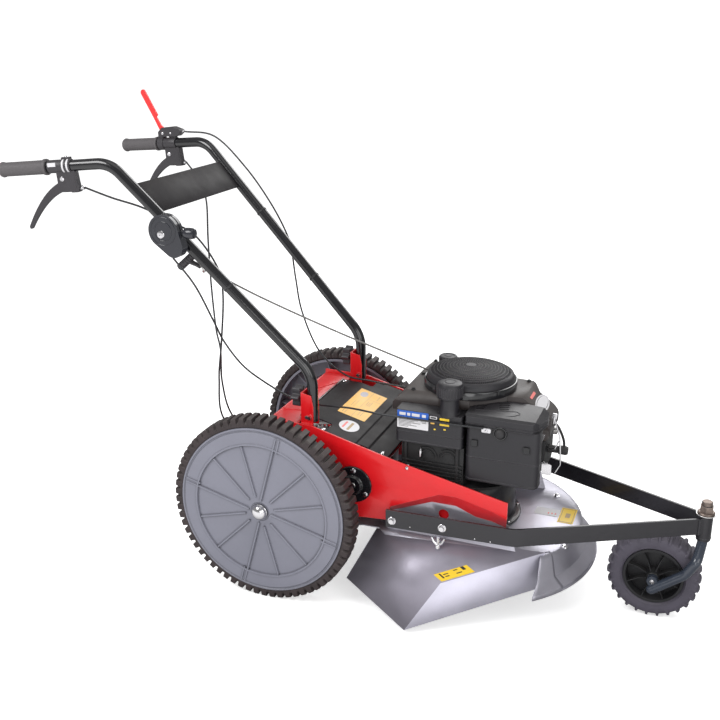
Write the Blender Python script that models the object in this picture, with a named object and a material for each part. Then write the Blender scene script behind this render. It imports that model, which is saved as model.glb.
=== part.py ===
"""Walk-behind brush mower with two driven rear wheels and a swivelling front wheel.

Units are metres, +Z up, +X towards the front, +Y towards the machine's left. Everything is laid out in
the rear axle frame (x = 0 at the axle, y = 0 in the middle plane, z = 0 on the ground), and hangs on one
empty that moves the origin under the middle of the overall box.
"""

import math

import bmesh
import bpy
from mathutils import Matrix, Vector

# ---- driving dimensions ----------------------------------------------------------------------------
ORIGIN_SHIFT = Vector((-0.17955, -0.00655, 0.0))  # puts the origin under the middle of the overall box
GAP = 0.0003  # clearance between neighbouring solids
RIGHT, LEFT = -1, 1  # sign of y

WHEEL_RADIUS = 0.250
WHEEL_DISC_RADIUS = 0.226
WHEEL_OUTER_FACE = 0.307
WHEEL_INNER_FACE = 0.252
WHEEL_LUGS = 64
AXLE_Z = WHEEL_RADIUS
AXLE_RADIUS = 0.010
AXLE_HALF_LENGTH = 0.320

PLATE_Y = 0.200  # middle of each red side plate
PLATE_THICKNESS = 0.004
# x, z of the fold line along the lower front edge of each side plate
PLATE_FOLD = ((0.314, 0.273), (0.438, 0.328), (0.482, 0.329), (0.507, 0.323), (0.574, 0.306), (0.609, 0.293))
# and of the free edge of the inward fold below it
PLATE_INNER_EDGE = (
    (0.311, 0.2545),
    (0.416, 0.2970),
    (0.478, 0.2970),
    (0.529, 0.2770),
    (0.571, 0.2720),
    (0.605, 0.2620),
)
CROSS_SHAFT = Vector((0.214, 0.0, 0.318))
CROSS_SHAFT_RADIUS = 0.008
CHAIN_Y = 0.130
CHAIN_PITCH = 0.0127
AXLE_TEETH = 32
CROSS_TEETH = 10

ENGINE_X = 0.455  # crankshaft, deck and blade axis
CRANK_RADIUS = 0.0125
BELT_Z = 0.272
GEARBOX_PULLEY_RADIUS = 0.050
CRANK_PULLEY_RADIUS = 0.024
IDLER_PIVOT = Vector((0.255, -0.110, BELT_Z))
IDLER_CENTRE = Vector((0.300, -0.075, BELT_Z))

DECK_TOP = 0.200
DECK_SHEET = 0.003
BLADE_TIP_RADIUS = 0.250
CHUTE_INNER_Y = 0.189  # the straight edge where the chute meets the deck, on the right
GUSSET_Y = 0.184  # middle of each grey upstand plate, inside the red ones

ARM_OUTER_Y = 0.225
ARM_THICKNESS = 0.007
# bottom and top of each front arm at its rear end, at its bend and at the head tube
ARM_HEIGHTS = ((0.226, 0.2735), (0.2345, 0.2805), (0.2455, 0.288))
ARM_BOLT_Z = 0.252
HEAD_X = 1.054
HEAD_BOTTOM, HEAD_TOP = 0.231, 0.293
KINGPIN_RADIUS = 0.0125
CASTER_AXLE = Vector((0.949, 0.0, 0.1144))
CASTER_RADIUS = 0.1144
CASTER_RIM_RADIUS = 0.0747

TUBE_RADIUS = 0.014
TUBE_END = Vector((-0.7096, 0.2749, 1.0674))
TUBE_TOP_BEND = Vector((-0.415, 0.2365, 1.094))
TUBE_LOW_BEND = Vector((0.090, 0.170, 0.587))
FOLD_PIVOT = Vector((0.090, 0.170, 0.475))
KNOB_Z = 0.524  # the clamp knobs' bolts
LEVER_STATION_X = -0.530  # where the lever clamps sit on the tubes
THROTTLE = Vector((-0.272, -0.2495, 0.938))
ROPE_GUIDE = Vector((-0.192, -0.187, 0.837))
ROPE_DIRECTION = Vector((-0.95, 0.0, 0.312)).normalized()

FUEL_CAP = Vector((0.443, -0.149, 0))
OIL_CAP = Vector((0.361, 0.118, 0))
PRIMER = Vector((0.575, -0.168, 0.4985))


# ---- small tools -----------------------------------------------------------------------------------
def clear_scene():
    for obj in list(bpy.data.objects):
        bpy.data.objects.remove(obj, do_unlink=True)


def make_material(name, colour, roughness, metallic=0.0):
    material = bpy.data.materials.new(name)
    material.use_nodes = True
    shader = material.node_tree.nodes["Principled BSDF"]
    shader.inputs["Base Color"].default_value = (*colour, 1.0)
    shader.inputs["Roughness"].default_value = roughness
    shader.inputs["Metallic"].default_value = metallic
    material.diffuse_color = (*colour, 1.0)
    return material


def side_point(point, side):
    """The point given for the left side, moved to the wanted side."""
    return Vector((point[0], point[1] * side, point[2]))


def arc(centre, radius, start_deg, end_deg, steps):
    """Points on a circle in a plane, both ends included."""
    angles = [math.radians(start_deg + (end_deg - start_deg) * i / steps) for i in range(steps + 1)]
    return [(centre[0] + radius * math.cos(a), centre[1] + radius * math.sin(a)) for a in angles]


def rounded_rectangle(low, high, radius, steps=3):
    """A rectangle in a plane with round corners, counter-clockwise."""
    inner = [
        (high[0] - radius, high[1] - radius, 0),
        (low[0] + radius, high[1] - radius, 90),
        (low[0] + radius, low[1] + radius, 180),
        (high[0] - radius, low[1] + radius, 270),
    ]
    points = []
    for x, y, start in inner:
        points += arc((x, y), radius, start, start + 90, steps)
    return points


def toothed_circle(count, tip, root, share, first_deg=-90.0):
    """An outline with `count` flat-topped teeth, one of them centred on first_deg."""
    half = math.pi * share / count
    points = []
    for i in range(count):
        middle = math.radians(first_deg) + 2 * math.pi * i / count
        for angle, radius in ((middle - half, tip), (middle + half, tip)):
            reach = radius / math.cos(half)
            points.append((reach * math.cos(angle), reach * math.sin(angle)))
        for angle in (middle + 1.35 * half, middle + 2 * math.pi / count - 1.35 * half):
            points.append((root * math.cos(angle), root * math.sin(angle)))
    return points


def belt_loop(centre_a, radius_a, centre_b, radius_b, steps=14):
    """The outline of an open belt round two circles, in a plane."""
    along = Vector(centre_b) - Vector(centre_a)
    heading = math.degrees(math.atan2(along[1], along[0]))
    lean = math.degrees(math.acos((radius_a - radius_b) / along.length))
    points = arc(centre_a, radius_a, heading + lean, heading + 360 - lean, steps)
    return points + arc(centre_b, radius_b, heading - lean, heading + lean, steps)


def prism(outline, axis, low, high, centre=(0.0, 0.0, 0.0)):
    """A solid with the given outline in the plane across `axis`, from low to high along it."""
    places = {"x": (1, 2, 0), "y": (0, 2, 1), "z": (0, 1, 2)}[axis]
    mesh = bmesh.new()
    rings = []
    for level in (low, high):
        ring = []
        for u, v in outline:
            point = [0.0, 0.0, 0.0]
            point[places[0]] = u + centre[places[0]]
            point[places[1]] = v + centre[places[1]]
            point[places[2]] = level
            ring.append(mesh.verts.new(point))
        rings.append(ring)
    count = len(outline)
    for i in range(count):
        j = (i + 1) % count
        mesh.faces.new((rings[0][i], rings[0][j], rings[1][j], rings[1][i]))
    mesh.faces.new(rings[0])
    mesh.faces.new(rings[1])
    bmesh.ops.recalc_face_normals(mesh, faces=mesh.faces)
    return mesh


def box(low, high):
    outline = [(low[0], low[1]), (high[0], low[1]), (high[0], high[1]), (low[0], high[1])]
    return prism(outline, "z", low[2], high[2])


def frame_along(direction):
    """A rotation whose local z is the given direction."""
    return Vector(direction).normalized().to_track_quat("Z", "Y").to_matrix()


def turned(profile, direction, centre=(0.0, 0.0, 0.0), steps=24):
    """A closed (radius, along) profile turned about the line through centre along direction."""
    turn = frame_along(direction)
    mesh = bmesh.new()
    rings = []
    for radius, along in profile:
        ring = []
        for i in range(1 if radius == 0 else steps):
            angle = 2 * math.pi * (i + 0.5) / steps
            local = Vector((radius * math.cos(angle), radius * math.sin(angle), along))
            ring.append(mesh.verts.new(turn @ local + Vector(centre)))
        rings.append(ring)
    for a, b in zip(rings, rings[1:] + rings[:1]):
        for i in range(steps):
            j = (i + 1) % steps
            corners = [a[i % len(a)], a[j % len(a)], b[j % len(b)], b[i % len(b)]]
            distinct = list(dict.fromkeys(corners))
            if len(distinct) > 2:
                mesh.faces.new(distinct)
    bmesh.ops.recalc_face_normals(mesh, faces=mesh.faces)
    return mesh


def rod(start, end, radius, steps=12):
    start, end = Vector(start), Vector(end)
    length = (end - start).length
    return turned([(0, 0), (radius, 0), (radius, length), (0, length)], end - start, start, steps)


def filleted(points, radii, steps=6):
    """A path through the points with round bends of the given radii at the inner points."""
    points = [Vector(p) for p in points]
    path = [points[0]]
    for before, corner, after, radius in zip(points, points[1:], points[2:], radii):
        a = (before - corner).normalized()
        b = (after - corner).normalized()
        half = a.angle(b) / 2
        reach = radius / math.tan(half)
        centre = corner + (a + b).normalized() * (radius / math.sin(half))
        start = corner + a * reach - centre
        end = corner + b * reach - centre
        sweep = start.angle(end)
        for i in range(steps + 1):
            part = i / steps
            share = (math.sin((1 - part) * sweep) * start + math.sin(part * sweep) * end) / math.sin(sweep)
            path.append(centre + share)
    return path + [points[-1]]


def curve_through(points, steps=3):
    """A smooth path through the points (Catmull-Rom)."""
    points = [Vector(p) for p in points]
    ends = [2 * points[0] - points[1]] + points + [2 * points[-1] - points[-2]]
    path = []
    for p0, p1, p2, p3 in zip(ends, ends[1:], ends[2:], ends[3:]):
        for i in range(steps):
            t = i / steps
            path.append(
                0.5
                * (
                    2 * p1
                    + (p2 - p0) * t
                    + (2 * p0 - 5 * p1 + 4 * p2 - p3) * t * t
                    + (3 * p1 - p0 - 3 * p2 + p3) * t * t * t
                )
            )
    return path + [points[-1]]


def swept(path, radius, sides=12):
    """A round rod along a path, with flat ends."""
    mesh = bmesh.new()
    rings = []
    normal = None
    for i, point in enumerate(path):
        ahead = path[min(i + 1, len(path) - 1)] - path[max(i - 1, 0)]
        tangent = ahead.normalized()
        if normal is None:
            normal = tangent.orthogonal().normalized()
        normal = (normal - tangent * normal.dot(tangent)).normalized()
        binormal = tangent.cross(normal)
        ring = []
        for k in range(sides):
            angle = 2 * math.pi * k / sides
            offset = normal * math.cos(angle) + binormal * math.sin(angle)
            ring.append(mesh.verts.new(point + offset * radius))
        rings.append(ring)
    for a, b in zip(rings, rings[1:]):
        for k in range(sides):
            n = (k + 1) % sides
            mesh.faces.new((a[k], a[n], b[n], b[k]))
    mesh.faces.new(rings[0])
    mesh.faces.new(rings[-1])
    bmesh.ops.recalc_face_normals(mesh, faces=mesh.faces)
    return mesh


def torus(centre, direction, major, minor, steps=12, sides=6):
    angles = [2 * math.pi * i / sides for i in range(sides)]
    profile = [(major + minor * math.cos(a), minor * math.sin(a)) for a in angles]
    return turned(profile, direction, centre, steps)


def moved(mesh, matrix):
    bmesh.ops.transform(mesh, matrix=matrix, verts=mesh.verts)
    return mesh


def as_object(name, mesh, pivot):
    pivot = Vector(pivot)
    bmesh.ops.translate(mesh, vec=-pivot, verts=mesh.verts)
    data = bpy.data.meshes.new(name)
    mesh.to_mesh(data)
    mesh.free()
    data.shade_smooth()
    data.set_sharp_from_angle(angle=math.radians(32))
    obj = bpy.data.objects.new(name, data)
    bpy.context.scene.collection.objects.link(obj)
    obj.parent = MOWER
    obj.location = pivot
    return obj


def part(name, material, base, add=(), cut=(), pivot=(0.0, 0.0, 0.0)):
    """One named piece: a base solid with others joined to it, and then others cut out of it."""
    obj = as_object(name, base, pivot)
    obj.data.materials.append(material)
    for operation, meshes in (("UNION", add), ("DIFFERENCE", cut)):
        for number, mesh in enumerate(meshes):
            helper = as_object(f"{name}_{operation.lower()}_{number}", mesh, pivot)
            helper.hide_render = True
            helper.hide_viewport = False
            helper.display_type = "WIRE"
            modifier = obj.modifiers.new(f"{operation.lower()}_{number}", "BOOLEAN")
            modifier.operation = operation
            modifier.object = helper
    return obj


# ---- rear wheels -----------------------------------------------------------------------------------
def rear_wheel(side, name):
    """A flat-faced plastic disc with a hub boss and a narrow rim under the tyre."""
    face, inner = WHEEL_OUTER_FACE, WHEEL_INNER_FACE
    bore, boss, rim = AXLE_RADIUS + GAP, 0.030, WHEEL_DISC_RADIUS
    profile = [
        (bore, 0.236),
        (boss, 0.236),
        (boss, face - 0.0065),
        (rim - 0.0045, face - 0.0065),
        (rim - 0.0045, inner),
        (rim, inner),
        (rim, face),
        (bore, face),
    ]
    centre = (0, 0, AXLE_Z)
    part(f"wheel_{name}", GREY_PLASTIC, turned(profile, (0, side, 0), centre, 40), pivot=centre)


def rear_tyre(side, name):
    """A narrow solid tyre with cross lugs; one lug is centred at the bottom and rests on the ground."""
    lugs = toothed_circle(WHEEL_LUGS, WHEEL_RADIUS, WHEEL_RADIUS - 0.011, 0.56)
    inner, outer = sorted((side * (WHEEL_INNER_FACE - 0.002), side * (WHEEL_OUTER_FACE - 0.003)))
    centre = Vector((0, 0, AXLE_Z))
    ring = prism(lugs, "y", inner, outer, centre)
    bore = rod(centre - Vector((0, 0.4, 0)), centre + Vector((0, 0.4, 0)), WHEEL_DISC_RADIUS + GAP, 40)
    part(f"tyre_{name}", RUBBER, ring, cut=[bore], pivot=centre)


def hub_cap(side, name):
    """A domed cap pushed over the end of the axle."""
    face, depth, radius = WHEEL_OUTER_FACE + GAP, 0.3215, 0.020
    profile = [
        (AXLE_RADIUS + GAP, face),
        (radius, face),
        (radius, 0.3125),
        (0.0175, 0.3230),
        (0.0110, 0.3300),
        (0, 0.3325),
        (0, depth),
        (AXLE_RADIUS + GAP, depth),
    ]
    centre = (0, 0, AXLE_Z)
    part(f"hub_cap_{name}", CHROME, turned(profile, (0, side, 0), centre, 16), pivot=centre)


def pitch_radius(teeth):
    return CHAIN_PITCH / (2 * math.sin(math.pi / teeth))


def rear_axle():
    """A through axle with the driven sprocket welded on."""
    centre = Vector((0, 0, AXLE_Z))
    reach = Vector((0, AXLE_HALF_LENGTH, 0))
    shaft = rod(centre - reach, centre + reach, AXLE_RADIUS, 16)
    radius = pitch_radius(AXLE_TEETH)
    teeth = toothed_circle(AXLE_TEETH, radius + 0.003, radius - 0.003, 0.36)
    sprocket = prism(teeth, "y", CHAIN_Y - 0.003, CHAIN_Y + 0.003, centre)
    part("rear_axle", STEEL, shaft, add=[sprocket], pivot=centre)


def cross_shaft():
    """The gearbox's output shaft with the small chain sprocket."""
    reach = Vector((0, 0.2135, 0))
    shaft = rod(CROSS_SHAFT - reach, CROSS_SHAFT + reach, CROSS_SHAFT_RADIUS, 12)
    radius = pitch_radius(CROSS_TEETH)
    teeth = toothed_circle(CROSS_TEETH, radius + 0.003, radius - 0.004, 0.36)
    sprocket = prism(teeth, "y", CHAIN_Y - 0.003, CHAIN_Y + 0.003, CROSS_SHAFT)
    part("cross_shaft", STEEL, shaft, add=[sprocket], pivot=CROSS_SHAFT)


def drive_chain():
    """The chain round both sprockets, as one closed band that clears the teeth."""
    low, high = (0.0, AXLE_Z), (CROSS_SHAFT.x, CROSS_SHAFT.z)
    big, small = pitch_radius(AXLE_TEETH) + 0.0038, pitch_radius(CROSS_TEETH) + 0.0038
    thickness = 0.009
    outer = prism(belt_loop(low, big + thickness, high, small + thickness), "y", 0.1255, 0.1345)
    inner = prism(belt_loop(low, big, high, small), "y", 0.11, 0.15)
    part("drive_chain", DARK_STEEL, outer, cut=[inner])


def shaft_flange(side, name):
    """A round bearing flange on the outside of a side plate, with three bolt heads."""
    inner = PLATE_Y + PLATE_THICKNESS / 2 + GAP
    profile = [
        (CROSS_SHAFT_RADIUS + GAP, inner),
        (0.0485, inner),
        (0.0485, inner + 0.004),
        (0.0455, inner + 0.006),
        (0.026, inner + 0.006),
        (0.022, inner + 0.013),
        (CROSS_SHAFT_RADIUS + GAP, inner + 0.013),
    ]
    flange = turned(profile, (0, side, 0), CROSS_SHAFT, 24)
    bolts = []
    for degrees in (30, 150, 270):
        angle = math.radians(degrees)
        base = CROSS_SHAFT + Vector((0.038 * math.cos(angle), 0, 0.038 * math.sin(angle)))
        start = base + Vector((0, side * (inner + 0.003), 0))
        bolts.append(rod(start, base + Vector((0, side * (inner + 0.010), 0)), 0.0065, 6))
    part(f"shaft_flange_{name}", BLACK_PAINT, flange, add=bolts, pivot=CROSS_SHAFT)


# ---- transmission ----------------------------------------------------------------------------------
def pulley_profile(groove, flange, bore):
    """A flat-bottomed pulley groove of the belt's height, between two flanges."""
    return [
        (bore, BELT_Z - 0.010),
        (flange, BELT_Z - 0.010),
        (flange, BELT_Z - 0.0055),
        (groove, BELT_Z - 0.0055),
        (groove, BELT_Z + 0.0055),
        (flange, BELT_Z + 0.0055),
        (flange, BELT_Z + 0.010),
        (bore, BELT_Z + 0.010),
    ]


def gearbox():
    """A cast housing round the cross shaft, with the input bore underneath."""
    centre = CROSS_SHAFT
    body = prism(rounded_rectangle((0.172, -0.034), (0.256, 0.034), 0.012), "z", 0.292, 0.3535)
    barrel = rod(centre - Vector((0, 0.048, 0)), centre + Vector((0, 0.048, 0)), 0.022, 20)
    shaft_bore = rod(centre - Vector((0, 0.1, 0)), centre + Vector((0, 0.1, 0)), 0.0083, 16)
    input_bore = rod((centre.x, 0, 0.280), (centre.x, 0, 0.3035), 0.0093, 16)
    part("gearbox", ALUMINIUM, body, add=[barrel], cut=[shaft_bore, input_bore])


def gearbox_pulley():
    centre = Vector((CROSS_SHAFT.x, 0, 0))
    profile = pulley_profile(GEARBOX_PULLEY_RADIUS, GEARBOX_PULLEY_RADIUS + 0.006, 0)
    wheel = turned(profile, (0, 0, 1), centre, 24)
    shaft = rod(centre + Vector((0, 0, 0.270)), centre + Vector((0, 0, 0.3030)), 0.009, 16)
    part("gearbox_pulley", DARK_STEEL, wheel, add=[shaft], pivot=centre + Vector((0, 0, BELT_Z)))


def drive_belt():
    """The belt from the crankshaft to the gearbox, lying in both grooves."""
    thickness, half_height = 0.008, 0.0045
    rear, front = (CROSS_SHAFT.x, 0.0), (ENGINE_X, 0.0)
    big, small = GEARBOX_PULLEY_RADIUS + 0.0004, CRANK_PULLEY_RADIUS + 0.0004
    outline = belt_loop(rear, big + thickness, front, small + thickness)
    outer = prism(outline, "z", BELT_Z - half_height, BELT_Z + half_height)
    inner = prism(belt_loop(rear, big, front, small), "z", BELT_Z - 0.02, BELT_Z + 0.02)
    part("drive_belt", RUBBER, outer, cut=[inner])


def idler_arm():
    """The tensioning arm that the traction cable pulls; its pin turns in a post of the frame."""
    low, high = BELT_Z + 0.012, BELT_Z + 0.016
    ends = ((IDLER_PIVOT.x, IDLER_PIVOT.y), (IDLER_CENTRE.x, IDLER_CENTRE.y))
    plate = prism(belt_loop(ends[0], 0.013, ends[1], 0.010, 8), "z", low, high)
    pin = rod(IDLER_PIVOT + Vector((0, 0, 0.013)), IDLER_PIVOT + Vector((0, 0, 0.036)), 0.006, 12)
    stub = rod(IDLER_CENTRE + Vector((0, 0, -0.010)), IDLER_CENTRE + Vector((0, 0, 0.013)), 0.005, 12)
    part("idler_arm", DARK_STEEL, plate, add=[pin, stub], pivot=IDLER_PIVOT)


def idler_pulley():
    centre = Vector((IDLER_CENTRE.x, IDLER_CENTRE.y, 0))
    profile = [
        (0.0052, BELT_Z - 0.0075),
        (0.018, BELT_Z - 0.0075),
        (0.018, BELT_Z + 0.0075),
        (0.0052, BELT_Z + 0.0075),
    ]
    part("idler_pulley", STEEL, turned(profile, (0, 0, 1), centre, 20), pivot=IDLER_CENTRE)


# ---- frame -----------------------------------------------------------------------------------------
def bracket(side):
    """A channel that holds one handlebar tube: a web behind the tube and a flange on each side."""
    y, low, high = side * FOLD_PIVOT.y, 0.4455, 0.539
    web = box((0.0655, y - 0.019, low), (0.0685, y + 0.019, high))
    flanges = []
    for offset in (-0.0175, 0.0175):
        outline = [(0.0660, low), (0.0990, low), (0.0990, 0.505), (0.0935, high - 0.006), (0.0660, high)]
        flanges.append(prism(outline, "y", y + offset - 0.0015, y + offset + 0.0015))
    near, far = sorted((side * 0.187, side * 0.199))
    foot = box((0.0665, near, low), (0.0975, far, 0.4585))
    return [web, *flanges, foot]


def folded_edge(side):
    """The inward fold under the front half of a side plate, ending just outside the upstand plate."""
    outer_y, inner_y, sheet = PLATE_Y + 0.0015, GUSSET_Y + 0.0026, 0.003
    mesh = bmesh.new()
    rows = []
    for lift in (0.0, sheet):
        for edge, y in ((PLATE_FOLD, outer_y), (PLATE_INNER_EDGE, inner_y)):
            rows.append([mesh.verts.new((x, side * y, z + lift)) for x, z in edge])
    low_out, low_in, high_out, high_in = rows
    for a, b in ((low_out, low_in), (low_in, high_in), (high_in, high_out), (high_out, low_out)):
        for i in range(len(a) - 1):
            mesh.faces.new((a[i], a[i + 1], b[i + 1], b[i]))
    for i in (0, -1):
        mesh.faces.new((low_out[i], low_in[i], high_in[i], high_out[i]))
    bmesh.ops.recalc_face_normals(mesh, faces=mesh.faces)
    return mesh


def main_frame():
    """Two side plates, the rear panel, the gearbox plate and the handlebar brackets, welded."""
    outline = [
        (-0.031, 0.462),
        (0.099, 0.4585),
        (0.313, 0.402),
        (0.609, 0.335),
        *reversed(PLATE_FOLD),
        (0.300, 0.233),
        (0.060, 0.216),
        (-0.030, 0.216),
        (-0.050, 0.245),
    ]
    half = PLATE_THICKNESS / 2
    plates = [prism(outline, "y", side * PLATE_Y - half, side * PLATE_Y + half) for side in (RIGHT, LEFT)]
    inside = PLATE_Y - 0.001
    panel = box((-0.031, -inside, 0.4450), (0.051, inside, 0.4490))
    rear_wall = box((-0.031, -inside, 0.336), (-0.027, inside, 0.447))
    gearbox_plate = box((0.165, -inside, 0.354), (0.276, inside, 0.358))
    post = rod(IDLER_PIVOT + Vector((0, 0, 0.018)), IDLER_PIVOT + Vector((0, 0, 0.084)), 0.012, 16)
    bosses = []
    for side in (RIGHT, LEFT):
        centre = Vector((0, 0, AXLE_Z))
        inner, outer = Vector((0, side * 0.190, 0)), Vector((0, side * 0.215, 0))
        bosses.append(rod(centre + inner, centre + outer, 0.026, 20))
    axle_bore = rod((0, -0.25, AXLE_Z), (0, 0.25, AXLE_Z), AXLE_RADIUS + GAP, 20)
    cross_bore = rod(CROSS_SHAFT - Vector((0, 0.25, 0)), CROSS_SHAFT + Vector((0, 0.25, 0)), 0.0120, 16)
    pin_bore = rod(IDLER_PIVOT + Vector((0, 0, 0.010)), IDLER_PIVOT + Vector((0, 0, 0.040)), 0.0063, 16)
    bolt_bore = rod((FOLD_PIVOT.x, -0.196, FOLD_PIVOT.z), (FOLD_PIVOT.x, 0.196, FOLD_PIVOT.z), 0.0054, 12)
    knob_bores = []
    for side in (RIGHT, LEFT):
        y = side * FOLD_PIVOT.y
        knob_bores.append(rod((0.050, y, KNOB_Z), (0.075, y, KNOB_Z), 0.0045, 12))
    part(
        "main_frame",
        RED_PAINT,
        plates[0],
        add=[
            panel,
            plates[1],
            rear_wall,
            gearbox_plate,
            post,
            *bosses,
            *bracket(RIGHT),
            *bracket(LEFT),
            folded_edge(RIGHT),
            folded_edge(LEFT),
        ],
        cut=[cross_bore, pin_bore, bolt_bore, *knob_bores, axle_bore],
    )


def belt_cover():
    """A folded black sheet between the side plates, narrower at the rear to clear the tubes."""
    top = [
        (0.047, 0.4585),
        (0.100, 0.4555),
        (0.232, 0.4205),
        (0.236, 0.4265),
        (0.262, 0.4195),
        (0.300, 0.4015),
    ]
    under = [(x, z - 0.003) for x, z in reversed(top)]
    half_width = PLATE_Y - 0.003
    sheet = prism(top + under, "y", -half_width, half_width)
    notches = []
    for side in (RIGHT, LEFT):
        low, high = sorted((side * 0.1450, side * 0.2050))
        notches.append(box((0.0, low, 0.40), (0.134, high, 0.50)))
    part("belt_cover", BLACK_PAINT, sheet, cut=notches)


def front_arm(side):
    """A flat bar on edge: straight along the side, bent in towards the head tube, rising to the front."""
    outer = ((0.308, ARM_OUTER_Y), (0.634, ARM_OUTER_Y), (1.056, 0.0155))
    inner = ((0.308, ARM_OUTER_Y - ARM_THICKNESS), (0.6324, ARM_OUTER_Y - ARM_THICKNESS), (1.0529, 0.0092))
    mesh = bmesh.new()
    rings = []
    for (xo, yo), (xi, yi), (low, high) in zip(outer, inner, ARM_HEIGHTS):
        corners = ((xo, yo, low), (xo, yo, high), (xi, yi, high), (xi, yi, low))
        rings.append([mesh.verts.new(side_point(corner, side)) for corner in corners])
    for a, b in zip(rings, rings[1:]):
        for k in range(4):
            n = (k + 1) % 4
            mesh.faces.new((a[k], a[n], b[n], b[k]))
    mesh.faces.new(rings[0])
    mesh.faces.new(rings[-1])
    bmesh.ops.triangulate(mesh, faces=mesh.faces)
    bmesh.ops.recalc_face_normals(mesh, faces=mesh.faces)
    return mesh


def front_frame():
    """Two flat arms that meet at the head tube of the front wheel."""
    solids = []
    for side in (RIGHT, LEFT):
        solids.append(front_arm(side))
        for x in (0.326, 0.456):
            start = Vector((x, side * (ARM_OUTER_Y - 0.004), ARM_BOLT_Z))
            solids.append(rod(start, start + Vector((0, side * 0.010, 0)), 0.0085, 10))
            spacer_end = Vector((x, side * (GUSSET_Y + 0.0023), ARM_BOLT_Z))
            solids.append(rod(start, spacer_end, 0.0055, 10))
    head = rod((HEAD_X, 0, HEAD_BOTTOM), (HEAD_X, 0, HEAD_TOP), 0.0175, 24)
    bore = rod((HEAD_X, 0, 0.200), (HEAD_X, 0, 0.310), KINGPIN_RADIUS + GAP, 24)
    part("front_frame", BLACK_PAINT, head, add=solids, cut=[bore], pivot=(HEAD_X, 0, 0))


# ---- cutting unit ----------------------------------------------------------------------------------
def chute_wall_line(offset):
    """Two plan points of the chute's outer wall top edge, moved towards the deck by offset."""
    start, end = Vector((0.479, -0.309)), Vector((0.702, -0.172))
    along = (end - start).normalized()
    inwards = Vector((-along.y, along.x)) * offset
    return start + inwards, end + inwards


def cutter_deck():
    """A round pressed deck with a flanged lip, the spindle boss and two upstand plates. Its right
    side is cut away for the discharge chute."""
    sheet = DECK_SHEET
    outer = [(0.290, 0.200), (0.300, 0.198), (0.306, 0.191), (0.318, 0.142), (0.345, 0.127), (0.346, 0.116)]
    inner = [(r - sheet, z - 0.4 * sheet) for r, z in reversed(outer[1:-1])]
    profile = [
        (0.0143, DECK_TOP),
        *outer,
        (0.343, 0.116),
        (0.342, 0.1245),
        *inner[1:-1],
        (0.2975, 0.1952),
        (0.289, DECK_TOP - sheet),
        (0.032, DECK_TOP - sheet),
        (0.030, 0.172),
        (0.0143, 0.172),
    ]
    centre = (ENGINE_X, 0, 0)
    shell = turned(profile, (0, 0, 1), centre, 48)
    line = chute_wall_line(0.0055)
    notch = [
        (0.205, -CHUTE_INNER_Y + 0.0005),
        (0.6735, -CHUTE_INNER_Y + 0.0005),
        tuple(line[1]),
        (0.860, -0.310),
        (0.860, -0.460),
        (0.120, -0.460),
    ]
    gussets = []
    for side in (RIGHT, LEFT):
        outline = [
            (0.300, DECK_TOP - 0.0015),
            (0.303, 0.262),
            (0.400, 0.303),
            (0.490, 0.305),
            (0.560, 0.283),
            (0.610, 0.268),
            (0.632, DECK_TOP - 0.0015),
        ]
        gussets.append(prism(outline, "y", side * GUSSET_Y - 0.002, side * GUSSET_Y + 0.002))
    hole = rod((0.447, -0.25, 0.268), (0.447, 0.25, 0.268), 0.0135, 20)
    chute_cut = prism(notch, "z", 0.05, 0.30)
    part("cutter_deck", GREY_PAINT, shell, add=gussets, cut=[chute_cut, hole])


def discharge_chute():
    """A folded sheet on the deck's right side: a sloping top, an outer wall and a rear wall."""
    rear, front = Vector((0.272, -CHUTE_INNER_Y, 0.1968)), Vector((0.674, -CHUTE_INNER_Y, 0.1938))
    outer = Vector((0.479, -0.309, 0.150))
    foot = Vector((0.398, -0.331, 0.022))
    rear_foot = Vector((0.2045, -0.231, 0.070))
    wall_end = Vector((0.702, -0.172, 0.1955))
    wall_foot = Vector((0.702, -0.159, 0.120))
    mesh = bmesh.new()
    names = (rear, front, outer, foot, rear_foot, wall_end, wall_foot)
    verts = [mesh.verts.new(point) for point in names]
    r, f, o, b, rb, we, wf = verts
    for corners in ((r, o, f), (o, b, wf, we, f), (r, rb, b, o)):
        mesh.faces.new(corners)
    bmesh.ops.recalc_face_normals(mesh, faces=mesh.faces)
    obj = part("discharge_chute", GREY_PAINT, mesh)
    thickness = obj.modifiers.new("sheet", "SOLIDIFY")
    thickness.thickness = 0.0025
    thickness.offset = -1
    thickness.use_even_offset = True


def spindle_housing():
    """The drum between the deck and the engine, open at the rear for the belt."""
    low, high, radius, wall = DECK_TOP + GAP, 0.3245, 0.130, 0.004
    profile = [
        (radius - wall, low),
        (radius + 0.012, low),
        (radius + 0.012, low + 0.004),
        (radius, low + 0.006),
        (radius, high),
        (0.050, high),
        (0.050, high - wall),
        (radius - wall, high - wall),
    ]
    drum = turned(profile, (0, 0, 1), (ENGINE_X, 0, 0), 28)
    slot = box((0.300, -0.060, 0.256), (0.400, 0.060, 0.290))
    part("spindle_housing", BLACK_PAINT, drum, cut=[slot])


def blade_hub():
    """The lower half of the blade clutch, its shaft and the blade's seat."""
    profile = [
        (0, 0.1275),
        (0.040, 0.1275),
        (0.040, 0.138),
        (0.014, 0.142),
        (0.014, 0.210),
        (0.055, 0.212),
        (0.055, 0.234),
        (0, 0.236),
    ]
    centre = Vector((ENGINE_X, 0, 0))
    part("blade_hub", STEEL, turned(profile, (0, 0, 1), centre, 24), pivot=centre + Vector((0, 0, 0.13)))


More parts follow.
